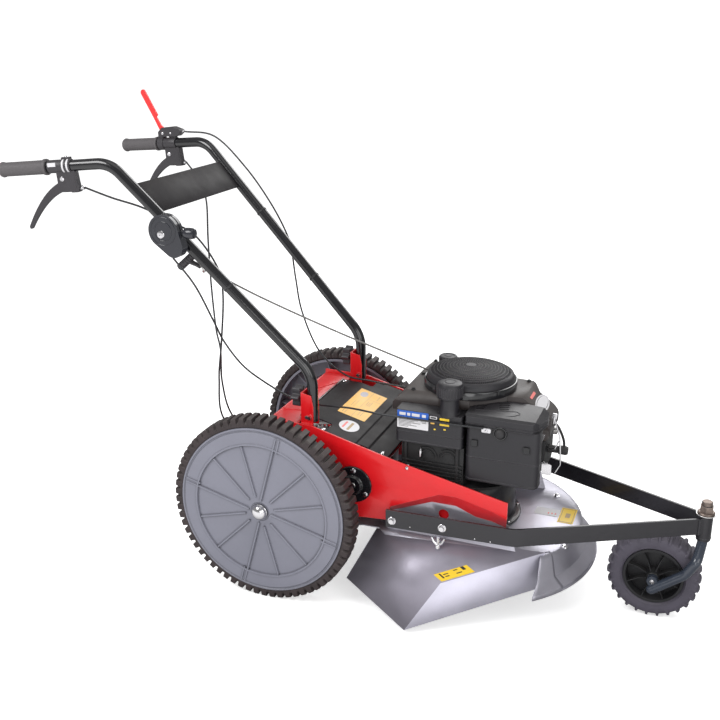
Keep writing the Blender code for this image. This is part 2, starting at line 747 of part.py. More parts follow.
def blade():
    """A one-piece bar blade with bevelled cutting edges and lifted wings at the trailing edges."""
    tip, half, low, high = BLADE_TIP_RADIUS, 0.030, 0.1215, 0.1268
    outline = [(-tip, -half), (tip, -half), (tip, half), (-tip, half)]
    bar = prism(outline, "z", low, high, (ENGINE_X, 0, 0))
    wings = []
    for side in (RIGHT, LEFT):
        outline = [(side * 0.016, high - 0.002), (side * 0.0295, high - 0.002), (side * 0.0295, high + 0.016)]
        start, end = sorted((side * (tip - 0.085), side * (tip - 0.002)))
        wings.append(prism(outline, "x", ENGINE_X + start, ENGINE_X + end))
    bolt = rod((ENGINE_X, 0, 0.110), (ENGINE_X, 0, 0.123), 0.013, 6)
    spin = Matrix.Rotation(math.radians(60), 4, "Z")
    centre = Matrix.Translation((ENGINE_X, 0, 0))
    turn = centre @ spin @ centre.inverted()
    add = [moved(mesh, turn) for mesh in (*wings, bolt)]
    part("blade", DARK_STEEL, moved(bar, turn), add=add, pivot=(ENGINE_X, 0, 0.124))


# ---- engine ----------------------------------------------------------------------------------------
def engine_block():
    """The cast block: round base, crankcase, finned cylinder with its head, and the carburettor."""
    base_profile = [
        (0.0135, 0.3250),
        (0.150, 0.3250),
        (0.165, 0.3310),
        (0.165, 0.3370),
        (0.118, 0.3370),
        (0.118, 0.3720),
        (0.0135, 0.3720),
    ]
    base = turned(base_profile, (0, 0, 1), (ENGINE_X, 0, 0), 32)
    crankcase = box((0.365, -0.085, 0.360), (0.530, 0.085, 0.4545))
    near_wall = box((0.325, -0.155, 0.330), (0.484, -0.060, 0.4385))
    cylinder = box((0.520, -0.045, 0.372), (0.640, 0.045, 0.446))
    fins = [box((x, -0.058, 0.366), (x + 0.005, 0.058, 0.4530)) for x in (0.548, 0.563, 0.578, 0.593, 0.608)]
    head = prism(rounded_rectangle((-0.060, 0.362), (0.056, 0.4535), 0.012), "x", 0.625, 0.664)
    carburettor = box((0.555, -0.1145, 0.392), (0.600, -0.050, 0.438))
    bore = rod((ENGINE_X, 0, 0.30), (ENGINE_X, 0, 0.46), CRANK_RADIUS + 0.0007, 24)
    plug_hole = rod((0.640, -0.012, 0.410), (0.680, -0.012, 0.410), 0.0075, 12)
    part(
        "engine_block",
        ENGINE_BLACK,
        base,
        add=[crankcase, near_wall, cylinder, *fins, head, carburettor],
        cut=[bore, plug_hole],
    )


def crankshaft():
    """The vertical crankshaft with the drive pulley on its lower end."""
    centre = Vector((ENGINE_X, 0, 0))
    shaft = rod(centre + Vector((0, 0, 0.2455)), centre + Vector((0, 0, 0.500)), CRANK_RADIUS, 20)
    pulley = turned(pulley_profile(CRANK_PULLEY_RADIUS, 0.030, 0), (0, 0, 1), centre, 24)
    part("crankshaft", STEEL, shaft, add=[pulley], pivot=centre + Vector((0, 0, BELT_Z)))


def flywheel():
    """The flywheel with its cooling vanes, inside the blower housing."""
    centre = Vector((ENGINE_X, 0, 0))
    profile = [(CRANK_RADIUS + GAP, 0.466), (0.080, 0.466), (0.082, 0.484), (CRANK_RADIUS + GAP, 0.484)]
    vanes = []
    for i in range(8):
        turn = Matrix.Translation(centre) @ Matrix.Rotation(2 * math.pi * i / 8, 4, "Z")
        vanes.append(moved(box((0.040, -0.002, 0.482), (0.078, 0.002, 0.502)), turn))
    part(
        "flywheel",
        ALUMINIUM,
        turned(profile, (0, 0, 1), centre, 24),
        add=vanes,
        pivot=centre + Vector((0, 0, 0.475)),
    )


def blower_housing():
    """The engine's top shroud, hollow round the flywheel, with the oil filler neck."""
    plan = [
        (0.285, -0.1180),
        (0.484, -0.1180),
        (0.484, -0.1125),
        (0.560, -0.0450),
        (0.672, -0.0450),
        (0.672, -0.0300),
        (0.607, 0.0840),
        (0.550, 0.0900),
        (0.500, 0.1600),
        (0.315, 0.1600),
        (0.285, 0.1300),
    ]
    low, high = 0.4555, 0.548
    body = prism(plan, "z", low, high)
    tank_space = box((0.270, -0.170, 0.440), (0.4835, -0.1140, 0.5250))
    rear_slope = prism([(0.275, 0.51), (0.275, 0.56), (0.325, 0.56)], "y", -0.2, 0.2)
    rear_space = box((0.270, -0.170, 0.440), (0.311, 0.170, 0.5000))
    front_slope = prism([(0.590, 0.555), (0.700, 0.478), (0.700, 0.570), (0.590, 0.570)], "y", -0.1, 0.2)
    far_slope = prism([(0.18, 0.49), (0.18, 0.56), (0.128, 0.56)], "x", 0.28, 0.70)
    near_slope = prism([(-0.165, 0.4806), (-0.165, 0.56), (-0.0743, 0.56)], "x", 0.27, 0.405)
    cavity = rod((ENGINE_X, 0, 0.440), (ENGINE_X, 0, 0.540), 0.088, 28)
    intake = rod((ENGINE_X, 0, 0.530), (ENGINE_X, 0, 0.560), 0.070, 24)
    neck = rod(OIL_CAP + Vector((0, 0, 0.500)), OIL_CAP + Vector((0, 0, 0.5530)), 0.018, 20)
    part(
        "blower_housing",
        BROWN_BLACK,
        body,
        cut=[tank_space, rear_slope, rear_space, front_slope, far_slope, near_slope, cavity, intake],
    ).modifiers.new("bevel", "BEVEL")
    obj = bpy.data.objects["blower_housing"]
    bevel = obj.modifiers["bevel"]
    bevel.width = 0.003
    bevel.segments = 1
    bevel.limit_method = "ANGLE"
    bevel.angle_limit = math.radians(40)
    bevel.use_clamp_overlap = True
    helper = as_object("blower_housing_neck", neck, (0, 0, 0))
    helper.hide_render = True
    helper.display_type = "WIRE"
    union = obj.modifiers.new("neck", "BOOLEAN")
    union.operation = "UNION"
    union.object = helper


def starter_screen():
    """The domed screen over the rope starter."""
    outer = [(0.113, 0.5485), (0.113, 0.5660), (0.108, 0.5770), (0.088, 0.5900), (0.055, 0.5990), (0, 0.6030)]
    inner = [(0, 0.600), (0.054, 0.596), (0.086, 0.587), (0.1055, 0.574), (0.110, 0.565), (0.110, 0.5485)]
    shell = turned(outer + inner, (0, 0, 1), (ENGINE_X, 0, 0), 28)
    part("starter_screen", ENGINE_BLACK, shell)


def fuel_tank():
    body = prism(rounded_rectangle((0.312, -0.168), (0.4825, -0.1158), 0.008), "z", 0.4390, 0.5245)
    neck = rod((FUEL_CAP.x, FUEL_CAP.y, 0.505), (FUEL_CAP.x, FUEL_CAP.y, 0.5755), 0.019, 24)
    part("fuel_tank", ENGINE_BLACK, body, add=[neck])


def fuel_cap():
    base = 0.566
    profile = [
        (0.0194, base),
        (0.032, base),
        (0.033, base + 0.004),
        (0.033, base + 0.030),
        (0.028, base + 0.038),
        (0, base + 0.040),
        (0, base + 0.0102),
        (0.0194, base + 0.0102),
    ]
    centre = (FUEL_CAP.x, FUEL_CAP.y, 0)
    part("fuel_cap", ENGINE_BLACK, turned(profile, (0, 0, 1), centre, 28), pivot=(*centre[:2], base))


def oil_cap():
    base = 0.5535
    grip = prism(toothed_circle(14, 0.026, 0.0235, 0.5), "z", base, base + 0.024, OIL_CAP)
    part("oil_cap", ENGINE_BLACK, grip, pivot=OIL_CAP + Vector((0, 0, base)))


def air_filter_cover():
    """The filter box with its hood and the pocket of the primer bulb."""
    body = prism(rounded_rectangle((0.490, -0.168), (0.668, -0.1153), 0.012), "z", 0.362, 0.508)
    hood_plan = [
        (0.4875, -0.168),
        (0.670, -0.168),
        (0.676, -0.150),
        (0.674, -0.0490),
        (0.5635, -0.0490),
        (0.4875, -0.1120),
    ]
    hood = prism(hood_plan, "z", 0.5055, 0.5360)
    near_slope = prism([(-0.180, 0.520), (-0.180, 0.545), (-0.130, 0.545)], "x", 0.47, 0.70)
    front_slope = prism([(0.685, 0.505), (0.685, 0.545), (0.640, 0.545)], "y", -0.2, 0.0)
    pocket = rod(PRIMER + Vector((0, -0.02, 0)), PRIMER + Vector((0, 0.0120, 0)), 0.0135, 20)
    part("air_filter_cover", ENGINE_BLACK, body, add=[hood], cut=[near_slope, front_slope, pocket])


def primer_bulb():
    """A rubber bulb pressed into the filter box to prime the carburettor."""
    profile = [(0, 0), (0.0128, 0), (0.0128, 0.010), (0.0110, 0.0155), (0.0060, 0.0185), (0, 0.0190)]
    base = PRIMER + Vector((0, 0.0058, 0))
    part("primer_bulb", RUBBER, turned(profile, (0, -1, 0), base, 16), pivot=base)


def muffler():
    body = prism(rounded_rectangle((0.500, 0.095), (0.640, 0.160), 0.016), "z", 0.376, 0.446)
    pipe = rod((0.630, 0.130, 0.400), (0.662, 0.130, 0.400), 0.010, 12)
    part("muffler", DARK_STEEL, body, add=[pipe])


def spark_plug():
    """The plug in the cylinder head, under its rubber boot."""
    profile = [
        (0, 0.645),
        (0.0068, 0.645),
        (0.0068, 0.6645),
        (0.0110, 0.6645),
        (0.0110, 0.676),
        (0.0070, 0.678),
        (0.0070, 0.688),
        (0.0115, 0.689),
        (0.0115, 0.714),
        (0, 0.716),
    ]
    part("spark_plug", RUBBER, turned(profile, (1, 0, 0), (0, -0.012, 0.410), 12))


# ---- front wheel -----------------------------------------------------------------------------------
def caster_fork():
    """A single bent rod: kingpin, leg beside the wheel, and the wheel's axle at its end."""
    y = -0.056
    corners = [
        (HEAD_X, 0, 0.3275),
        (HEAD_X, 0, 0.222),
        (1.0465, y, 0.190),
        (1.024, y, 0.149),
        (CASTER_AXLE.x, y, 0.092),
    ]
    leg = swept(filleted(corners, (0.014, 0.018, 0.045), 3), KINGPIN_RADIUS, 14)
    boss = rod(CASTER_AXLE + Vector((0, y - 0.012, 0)), CASTER_AXLE + Vector((0, y + 0.013, 0)), 0.0145, 16)
    axle = rod(CASTER_AXLE + Vector((0, y - 0.020, 0)), CASTER_AXLE + Vector((0, 0.040, 0)), 0.006, 12)
    part("caster_fork", BLACK_PAINT, leg, add=[boss, axle], pivot=(HEAD_X, 0, 0))


def kingpin_nut():
    """The washer and crown nut that hold the kingpin in the head tube."""
    hole = KINGPIN_RADIUS + GAP
    low = HEAD_TOP + GAP
    washer = [(hole, low), (0.0215, low), (0.0215, low + 0.003), (hole, low + 0.003)]
    nut = prism(arc((0, 0), 0.0175, 30, 330, 5), "z", low + 0.002, low + 0.0230, (HEAD_X, 0, 0))
    bore = rod((HEAD_X, 0, 0.28), (HEAD_X, 0, 0.33), hole, 20)
    base = turned(washer, (0, 0, 1), (HEAD_X, 0, 0), 20)
    part("kingpin_nut", STEEL, base, add=[nut], cut=[bore], pivot=(HEAD_X, 0, low))


def caster_wheel():
    """A plastic rim with a hub, a thin web and four ribs on each side."""
    rim, half = CASTER_RIM_RADIUS - GAP, 0.030
    profile = [
        (0.0063, -0.0415),
        (0.0150, -0.0415),
        (0.0150, -0.003),
        (rim - 0.008, -0.003),
        (rim - 0.008, -half),
        (rim, -half),
        (rim, half),
        (rim - 0.008, half),
        (rim - 0.008, 0.003),
        (0.0150, 0.003),
        (0.0150, 0.036),
        (0.0063, 0.036),
    ]
    ribs = []
    for i in range(2):
        turn = Matrix.Translation(CASTER_AXLE) @ Matrix.Rotation(math.pi * i / 2 + 0.39, 4, "Y")
        ribs.append(moved(box((-rim + 0.004, -0.022, -0.0015), (rim - 0.004, 0.022, 0.0015)), turn))
    bore = rod(CASTER_AXLE - Vector((0, 0.06, 0)), CASTER_AXLE + Vector((0, 0.06, 0)), 0.0063, 16)
    wheel = turned(profile, (0, 1, 0), CASTER_AXLE, 28)
    part("caster_wheel", BLACK_PLASTIC, wheel, add=ribs, cut=[bore], pivot=CASTER_AXLE)


def caster_tyre():
    lugs = toothed_circle(24, CASTER_RADIUS, CASTER_RADIUS - 0.006, 0.60)
    ring = prism(lugs, "y", -0.035, 0.035, CASTER_AXLE)
    bore = rod(CASTER_AXLE - Vector((0, 0.06, 0)), CASTER_AXLE + Vector((0, 0.06, 0)), CASTER_RIM_RADIUS, 28)
    part("caster_tyre", RUBBER, ring, cut=[bore], pivot=CASTER_AXLE)


# ---- handlebar -------------------------------------------------------------------------------------
def tube_point(x, side):
    """The point of a tube's axis at x, on the grip stretch or on the long sloping stretch."""
    a, b = (TUBE_END, TUBE_TOP_BEND) if x < TUBE_TOP_BEND.x else (TUBE_TOP_BEND, TUBE_LOW_BEND)
    share = (x - a.x) / (b.x - a.x)
    return side_point(a.lerp(b, share), side)


def handle_frame(side):
    """A matrix from lever coordinates (x along the grip, z up, origin on the tube's axis) to the frame."""
    forward = (side_point(TUBE_TOP_BEND, side) - side_point(TUBE_END, side)).normalized()
    across = Vector((0, 0, 1)).cross(forward).normalized()
    up = forward.cross(across)
    matrix = Matrix((forward, across, up)).transposed().to_4x4()
    matrix.translation = tube_point(LEVER_STATION_X, side)
    return matrix


def handlebar_tube(side, name):
    """A bent tube with the fold bolt through its lower end; the right one carries the rope guide."""
    corners = [TUBE_END, TUBE_TOP_BEND, TUBE_LOW_BEND, Vector((FOLD_PIVOT.x, FOLD_PIVOT.y, 0.4605))]
    path = filleted([side_point(p, side) for p in corners], (0.075, 0.090), 6)
    bolt_ends = [side_point((FOLD_PIVOT.x, y, FOLD_PIVOT.z), side) for y in (0.1450, 0.1955)]
    extras = [rod(*bolt_ends, 0.005, 10)]
    if side == RIGHT:
        root = tube_point(-0.1750, side)
        extras.append(rod(root, ROPE_GUIDE + Vector((0.004, -0.009, 0.003)), 0.0035, 8))
        extras.append(torus(ROPE_GUIDE, ROPE_DIRECTION, 0.0095, 0.0028))
    pivot = side_point(FOLD_PIVOT, side)
    part(f"handlebar_{name}", GLOSS_BLACK, swept(path, TUBE_RADIUS, 14), add=extras, pivot=pivot)


def crossbar_plate():
    """A flat plate between the sloping stretches of both tubes."""
    ends = [tube_point(x, LEFT) for x in (-0.363, -0.2973)]
    down = (ends[1] - ends[0]).normalized()
    up = Vector((0, 1, 0)).cross(down).normalized()
    mesh = bmesh.new()
    rings = []
    for offset in (-0.0015, 0.0015):
        ring = []
        for end, side in ((ends[0], RIGHT), (ends[0], LEFT), (ends[1], LEFT), (ends[1], RIGHT)):
            y = side * (end.y - TUBE_RADIUS - 0.0006)
            ring.append(mesh.verts.new(Vector((end.x, y, end.z)) + up * offset))
        rings.append(ring)
    for i in range(4):
        j = (i + 1) % 4
        mesh.faces.new((rings[0][i], rings[0][j], rings[1][j], rings[1][i]))
    mesh.faces.new(rings[0])
    mesh.faces.new(rings[1])
    bmesh.ops.recalc_face_normals(mesh, faces=mesh.faces)
    part("crossbar_plate", DARK_GREY, mesh)


def grip(side, name):
    """A rubber sleeve, closed at the rear end, with a collar at the front."""
    forward = (side_point(TUBE_TOP_BEND, side) - side_point(TUBE_END, side)).normalized()
    start = side_point(TUBE_END, side)
    bore = TUBE_RADIUS + GAP
    profile = [
        (0, -0.0040),
        (0.0165, -0.0040),
        (0.0190, 0.0010),
        (0.0175, 0.0080),
        (0.0168, 0.1180),
        (0.0195, 0.1190),
        (0.0195, 0.1270),
        (bore, 0.1270),
        (bore, -GAP),
        (0, -GAP),
    ]
    part(f"grip_{name}", RUBBER, turned(profile, forward, start, 18))


def lever_clamp(side, name):
    """The clamp round the tube with the block and ears that carry a hand lever."""
    to_frame = handle_frame(side)
    sleeve = rod((-0.018, 0, 0), (0.018, 0, 0), 0.0185, 18)
    bore = rod((-0.08, 0, 0), (0.08, 0, 0), TUBE_RADIUS + GAP, 18)
    block_outline = [
        (0.013, -0.012),
        (0.030, -0.013),
        (0.036, -0.040),
        (0.040, -0.064),
        (0.018, -0.064),
        (0.013, -0.040),
    ]
    block = prism(block_outline, "y", -0.0085, 0.0085)
    ear_outline = [(-0.028, -0.0150), (0.020, -0.0140), (0.020, -0.043), (-0.020, -0.045), (-0.030, -0.036)]
    ears = [prism(ear_outline, "y", low, low + 0.0037) for low in (-0.0091, 0.0054)]
    pin = rod((-0.016, -0.008, -0.031), (-0.016, 0.008, -0.031), 0.003, 8)
    add = [moved(mesh, to_frame) for mesh in (block, *ears, pin)]
    sleeve, bore = moved(sleeve, to_frame), moved(bore, to_frame)
    part(f"lever_clamp_{name}", BLACK_PLASTIC, sleeve, add=add, cut=[bore])


def lever_outline():
    """Side view of a hand lever about its pivot: a head, and a blade that curves back and down."""
    start, bend, tip = Vector((-0.004, -0.014)), Vector((-0.048, -0.040)), Vector((-0.104, -0.122))
    steps, upper, lower = 7, [], []
    for i in range(steps + 1):
        t = i / steps
        point = (1 - t) ** 2 * start + 2 * t * (1 - t) * bend + t * t * tip
        heading = (2 * (1 - t) * (bend - start) + 2 * t * (tip - bend)).normalized()
        across = Vector((-heading.y, heading.x)) * (0.0105 - 0.0060 * t)
        upper.append(tuple(point - across))
        lower.append(tuple(point + across))
    head = [(0.010, 0.006), (0.013, -0.006), (0.026, -0.026), (0.022, -0.034), (0.006, -0.033)]
    return [(-0.010, 0.007), *head, *lower[1:], *reversed(upper[1:])]


def hand_lever(side, node):
    to_frame = handle_frame(side)
    pivot = Vector((-0.016, 0, -0.031))
    body = prism([(x + pivot.x, z + pivot.z) for x, z in lever_outline()], "y", -0.0050, 0.0050)
    hole = rod(pivot + Vector((0, -0.02, 0)), pivot + Vector((0, 0.02, 0)), 0.0034, 12)
    part(node, BLACK_PLASTIC, moved(body, to_frame), cut=[moved(hole, to_frame)], pivot=to_frame @ pivot)


def stop_lever_housing():
    """The clamp, cheeks and pin of the stop lever, on top of the left tube."""
    to_frame = handle_frame(LEFT)
    sleeve = rod((-0.050, 0, 0), (-0.031, 0, 0), 0.0185, 18)
    bore = rod((-0.08, 0, 0), (0.08, 0, 0), TUBE_RADIUS + GAP, 18)
    post = box((-0.049, -0.0095, 0.0155), (-0.032, 0.0095, 0.0210))
    nose_outline = [
        (-0.010, 0.0197),
        (0.022, 0.0197),
        (0.034, 0.0280),
        (0.034, 0.0360),
        (0.008, 0.0460),
        (-0.010, 0.0460),
    ]
    nose = prism(nose_outline, "y", -0.0120, 0.0120)
    cheek_outline = [(-0.046, 0.0192), (-0.008, 0.0202), (-0.008, 0.0452), (-0.030, 0.0452), (-0.046, 0.034)]
    cheeks = [prism(cheek_outline, "y", low, low + 0.0080) for low in (-0.0117, 0.0037)]
    pin = rod((-0.028, -0.010, 0.0300), (-0.028, 0.010, 0.0300), 0.003, 8)
    add = [moved(mesh, to_frame) for mesh in (post, *cheeks, nose, pin)]
    part("stop_lever_housing", BLACK_PLASTIC, moved(sleeve, to_frame), add=add, cut=[moved(bore, to_frame)])


def stop_lever():
    to_frame = handle_frame(LEFT)
    pivot = Vector((-0.028, 0, 0.0300))
    outline = [
        *arc((0, 0), 0.0085, -150, 40, 6),
        (-0.012, 0.024),
        (-0.0255, 0.050),
        (-0.0225, 0.0515),
        (-0.0590, 0.1215),
        *arc((-0.0650, 0.1190), 0.0062, 30, 210, 4),
        (-0.0345, 0.0470),
        (-0.0180, 0.0120),
    ]
    body = prism([(x + pivot.x, z + pivot.z) for x, z in outline], "y", -0.0030, 0.0030)
    hole = rod(pivot + Vector((0, -0.02, 0)), pivot + Vector((0, 0.02, 0)), 0.0034, 12)
    body, hole = moved(body, to_frame), moved(hole, to_frame)
    part("stop_lever", RED_PLASTIC, body, cut=[hole], pivot=to_frame @ pivot)


def throttle_housing():
    """A drop-shaped case on the outside of the right tube, with a slot for the throttle lever."""
    lower = Vector((THROTTLE.x + 0.032, THROTTLE.z - 0.036))
    outline = belt_loop((THROTTLE.x, THROTTLE.z), 0.041, lower, 0.026, 12)
    case = prism(outline, "y", THROTTLE.y - 0.013, THROTTLE.y + 0.013)
    a, b = tube_point(-0.282, RIGHT), tube_point(-0.252, RIGHT)
    clamp = rod(a, b, 0.0205, 18)
    disc_slot = rod(THROTTLE + Vector((0, -0.002, 0)), THROTTLE + Vector((0, 0.002, 0)), 0.0215, 24)
    opening = [(0, -0.0200), (0.090, -0.0085), (0.090, 0.080), (0.050, 0.080), (0, 0.0200)]
    sweep_outline = [(x + THROTTLE.x, z + THROTTLE.z) for x, z in opening]
    sweep = prism(sweep_outline, "y", THROTTLE.y - 0.002, THROTTLE.y + 0.002)
    tube_bore = rod(a - (b - a) * 3, b + (b - a) * 3, 0.0143, 18)
    part("throttle_housing", BLACK_PLASTIC, case, add=[clamp], cut=[tube_bore, disc_slot, sweep])


def throttle_lever():
    """A flat disc and arm in the housing's slot, with a round knob outside it."""
    disc = rod(THROTTLE + Vector((0, -0.0017, 0)), THROTTLE + Vector((0, 0.0017, 0)), 0.0205, 24)
    arm = box(
        (THROTTLE.x + 0.010, THROTTLE.y - 0.0017, THROTTLE.z - 0.0045),
        (THROTTLE.x + 0.070, THROTTLE.y + 0.0017, THROTTLE.z + 0.0045),
    )
    knob_profile = [(0, 0.066), (0.011, 0.066), (0.0130, 0.070), (0.0130, 0.090), (0.0105, 0.095), (0, 0.095)]
    knob = turned(knob_profile, (1, 0, 0), THROTTLE, 16)
    part("throttle_lever", BLACK_PLASTIC, disc, add=[arm, knob], pivot=THROTTLE)


def starter_handle():
    """A ribbed T handle at the end of the starter rope, resting at the rope guide."""
    bar = Vector((0.747, 0.0, 0.666)).normalized()
    centre = ROPE_GUIDE + ROPE_DIRECTION * 0.052
    ribs, count, pitch = [(0, -0.031)], 4, 0.0155
    for i in range(count):
        low = -0.031 + i * pitch
        high = low + pitch
        ribs += [(0.0085, low), (0.0100, low + 0.003), (0.0100, high - 0.003), (0.0085, high - 0.0002)]
    ribs.append((0, 0.031))
    handle = turned(ribs, bar, centre, 12)
    stem = rod(centre, ROPE_GUIDE + ROPE_DIRECTION * 0.012, 0.0055, 10)
    part("starter_handle", BLACK_PLASTIC, handle, add=[stem], pivot=centre)


def clamp_knob(side, name):
    """A six-lobed knob whose bolt passes through the bracket's web."""
    centre = Vector((0, side * FOLD_PIVOT.y, KNOB_Z))
    points = []
    for i in range(24):
        angle = 2 * math.pi * i / 24
        radius = 0.0240 + 0.0035 * math.cos(6 * angle)
        points.append((radius * math.cos(angle), radius * math.sin(angle)))
    star = prism(points, "x", 0.0405, 0.0650, centre)
    bolt = rod(centre + Vector((0.060, 0, 0)), centre + Vector((0.0740, 0, 0)), 0.0040, 10)
    middle = centre + Vector((0.0527, 0, 0))
    part(f"clamp_knob_{name}", BLACK_PLASTIC, star, add=[bolt], pivot=middle)


# ---- control cables --------------------------------------------------------------------------------
def cable(name, points):
    """A sheathed control cable along a smooth path."""
    part(name, CABLE_BLACK, swept(curve_through(points), 0.0024, 6))


def control_cables():
    lever_exit = Vector((0.046, 0, -0.056))
    cable(
        "traction_cable",
        [
            handle_frame(RIGHT) @ lever_exit,
            (-0.424, -0.226, 1.003),
            (-0.352, -0.205, 0.976),
            (-0.283, -0.182, 0.947),
            (-0.222, -0.170, 0.912),
            (-0.172, -0.158, 0.833),
            (-0.164, -0.152, 0.760),
            (-0.183, -0.138, 0.629),
            (-0.203, -0.125, 0.517),
            (-0.200, -0.115, 0.400),
            (-0.110, -0.100, 0.322),
            (0.080, -0.095, 0.322),
        ],
    )
    cable(
        "blade_cable",
        [
            handle_frame(LEFT) @ lever_exit,
            (-0.425, 0.208, 0.986),
            (-0.373, 0.150, 0.938),
            (-0.316, 0.050, 0.852),
            (-0.273, -0.020, 0.745),
            (-0.222, -0.095, 0.650),
            (-0.196, -0.122, 0.600),
            (-0.205, -0.105, 0.500),
            (-0.190, -0.085, 0.400),
            (-0.110, -0.070, 0.315),
            (0.080, -0.060, 0.315),
        ],
    )
    cable(
        "throttle_cable",
        [
            (-0.2440, -0.249, 0.8730),
            (-0.203, -0.222, 0.800),
            (-0.180, -0.180, 0.700),
            (-0.168, -0.150, 0.635),
            (-0.124, -0.142, 0.576),
            (-0.073, -0.134, 0.537),
            (0.009, -0.130, 0.498),
            (0.084, -0.134, 0.490),
            (0.184, -0.150, 0.500),
            (0.280, -0.1760, 0.507),
            (0.427, -0.1745, 0.5065),
            (0.535, -0.1745, 0.508),
        ],
    )
    cable(
        "stop_cable",
        [
            handle_frame(LEFT) @ Vector((0.037, 0, 0.032)),
            (-0.392, 0.250, 1.108),
            (-0.288, 0.236, 1.026),
            (-0.208, 0.228, 0.930),
            (-0.159, 0.226, 0.845),
            (-0.140, 0.216, 0.795),
            (-0.122, 0.200, 0.722),
            (-0.090, 0.170, 0.635),
            (-0.025, 0.138, 0.537),
            (0.055, 0.132, 0.478),
            (0.129, 0.135, 0.468),
            (0.214, 0.130, 0.466),
            (0.296, 0.120, 0.470),
        ],
    )


# ---- the machine -----------------------------------------------------------------------------------
clear_scene()

RED_PAINT = make_material("red_paint", (0.70, 0.010, 0.015), 0.22)
RED_PLASTIC = make_material("red_plastic", (0.80, 0.030, 0.030), 0.40)
GREY_PAINT = make_material("grey_paint", (0.20, 0.195, 0.21), 0.38, 0.4)
GREY_PLASTIC = make_material("grey_plastic", (0.105, 0.115, 0.135), 0.50)
DARK_GREY = make_material("dark_grey_paint", (0.040, 0.040, 0.045), 0.50)
BLACK_PAINT = make_material("black_paint", (0.012, 0.012, 0.014), 0.35)
GLOSS_BLACK = make_material("gloss_black", (0.006, 0.006, 0.008), 0.15)
BLACK_PLASTIC = make_material("black_plastic", (0.018, 0.018, 0.020), 0.50)
ENGINE_BLACK = make_material("engine_black", (0.015, 0.015, 0.018), 0.42)
BROWN_BLACK = make_material("brown_black", (0.060, 0.050, 0.048), 0.45)
CABLE_BLACK = make_material("cable_sheath", (0.010, 0.010, 0.010), 0.40)
RUBBER = make_material("rubber", (0.028, 0.024, 0.023), 0.75)
STEEL = make_material("steel", (0.55, 0.55, 0.56), 0.30, 1.0)
DARK_STEEL = make_material("dark_steel", (0.16, 0.16, 0.17), 0.40, 1.0)
ALUMINIUM = make_material("aluminium", (0.55, 0.56, 0.57), 0.45, 1.0)
CHROME = make_material("chrome", (0.80, 0.80, 0.80), 0.10, 1.0)

MOWER = bpy.data.objects.new("brush_mower", None)
bpy.context.scene.collection.objects.link(MOWER)
MOWER.location = ORIGIN_SHIFT

for sign, word in ((RIGHT, "right"), (LEFT, "left")):
    rear_wheel(sign, word)
    rear_tyre(sign, word)
    hub_cap(sign, word)
    shaft_flange(sign, word)
    handlebar_tube(sign, word)
    grip(sign, word)
    lever_clamp(sign, word)
    clamp_knob(sign, word)
hand_lever(RIGHT, "traction_lever")
hand_lever(LEFT, "blade_lever")
rear_axle()
cross_shaft()
drive_chain()
gearbox()
gearbox_pulley()
drive_belt()
idler_arm()
idler_pulley()
main_frame()
belt_cover()
front_frame()
cutter_deck()
discharge_chute()
spindle_housing()
blade_hub()
blade()
engine_block()
crankshaft()
flywheel()
blower_housing()
starter_screen()
fuel_tank()
fuel_cap()
oil_cap()
air_filter_cover()
primer_bulb()
muffler()
spark_plug()
caster_fork()
kingpin_nut()
caster_wheel()
caster_tyre()
crossbar_plate()
stop_lever_housing()
stop_lever()
throttle_housing()
throttle_lever()
starter_handle()
control_cables()
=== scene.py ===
"""The looks of the brush mower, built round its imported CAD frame.

Shapes are laid out in the rear axle frame: metres, x = 0 at the axle and +X forward, y = 0 in the middle
plane and +Y to the machine's left, z = 0 on the ground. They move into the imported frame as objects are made.
"""

import math

import bmesh
import bpy
from mathutils import Matrix, Vector


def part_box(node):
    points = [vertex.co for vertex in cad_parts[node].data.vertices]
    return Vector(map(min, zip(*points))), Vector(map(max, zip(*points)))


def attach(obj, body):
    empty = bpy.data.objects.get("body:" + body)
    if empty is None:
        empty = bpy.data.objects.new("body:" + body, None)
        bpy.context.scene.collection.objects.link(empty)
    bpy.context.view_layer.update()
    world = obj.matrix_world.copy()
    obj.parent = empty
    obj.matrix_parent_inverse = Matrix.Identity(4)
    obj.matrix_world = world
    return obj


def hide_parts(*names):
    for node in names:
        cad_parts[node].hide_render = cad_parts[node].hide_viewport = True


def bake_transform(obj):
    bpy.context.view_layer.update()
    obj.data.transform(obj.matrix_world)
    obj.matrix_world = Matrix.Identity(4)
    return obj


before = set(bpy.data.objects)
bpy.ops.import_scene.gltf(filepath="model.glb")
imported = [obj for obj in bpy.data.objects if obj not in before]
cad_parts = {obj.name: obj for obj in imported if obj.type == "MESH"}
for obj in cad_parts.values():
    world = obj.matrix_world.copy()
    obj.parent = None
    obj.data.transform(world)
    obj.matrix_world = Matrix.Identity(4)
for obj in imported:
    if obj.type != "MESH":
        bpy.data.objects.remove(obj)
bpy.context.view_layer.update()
RIGHT, LEFT = -1, 1


def middle(node):
    low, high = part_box(node)
    return (low + high) / 2


AXLE = (middle("wheel_right") + middle("wheel_left")) / 2
ORIGIN = Vector((AXLE.x, AXLE.y, 0))


def spot(node):
    """The middle of a CAD node, in the rear axle frame."""
    return middle(node) - ORIGIN


# ---- driving dimensions ----------------------------------------------------------------------------
WHEEL_Z = 0.250  # height of the rear axle
ENGINE_X = 0.455  # the axis of the engine, the spindle and the deck
HEAD_X = 1.054  # the axis of the kingpin
HEAD_BORE = 0.0129
UP = (0, 0, 1)
ENGINE_AXIS = (ENGINE_X, 0, 0)
HEAD_AXIS = (HEAD_X, 0, 0)
DECK_TOP = 0.2000
FLANGE_X, FLANGE_Z = 0.214, 0.318  # the axis of the cross shaft
FLANGE_NODES = {RIGHT: "shaft_flange_right", LEFT: "shaft_flange_left"}
FLANGE_BOLTS = (88, 328, 208)  # degrees round the flange

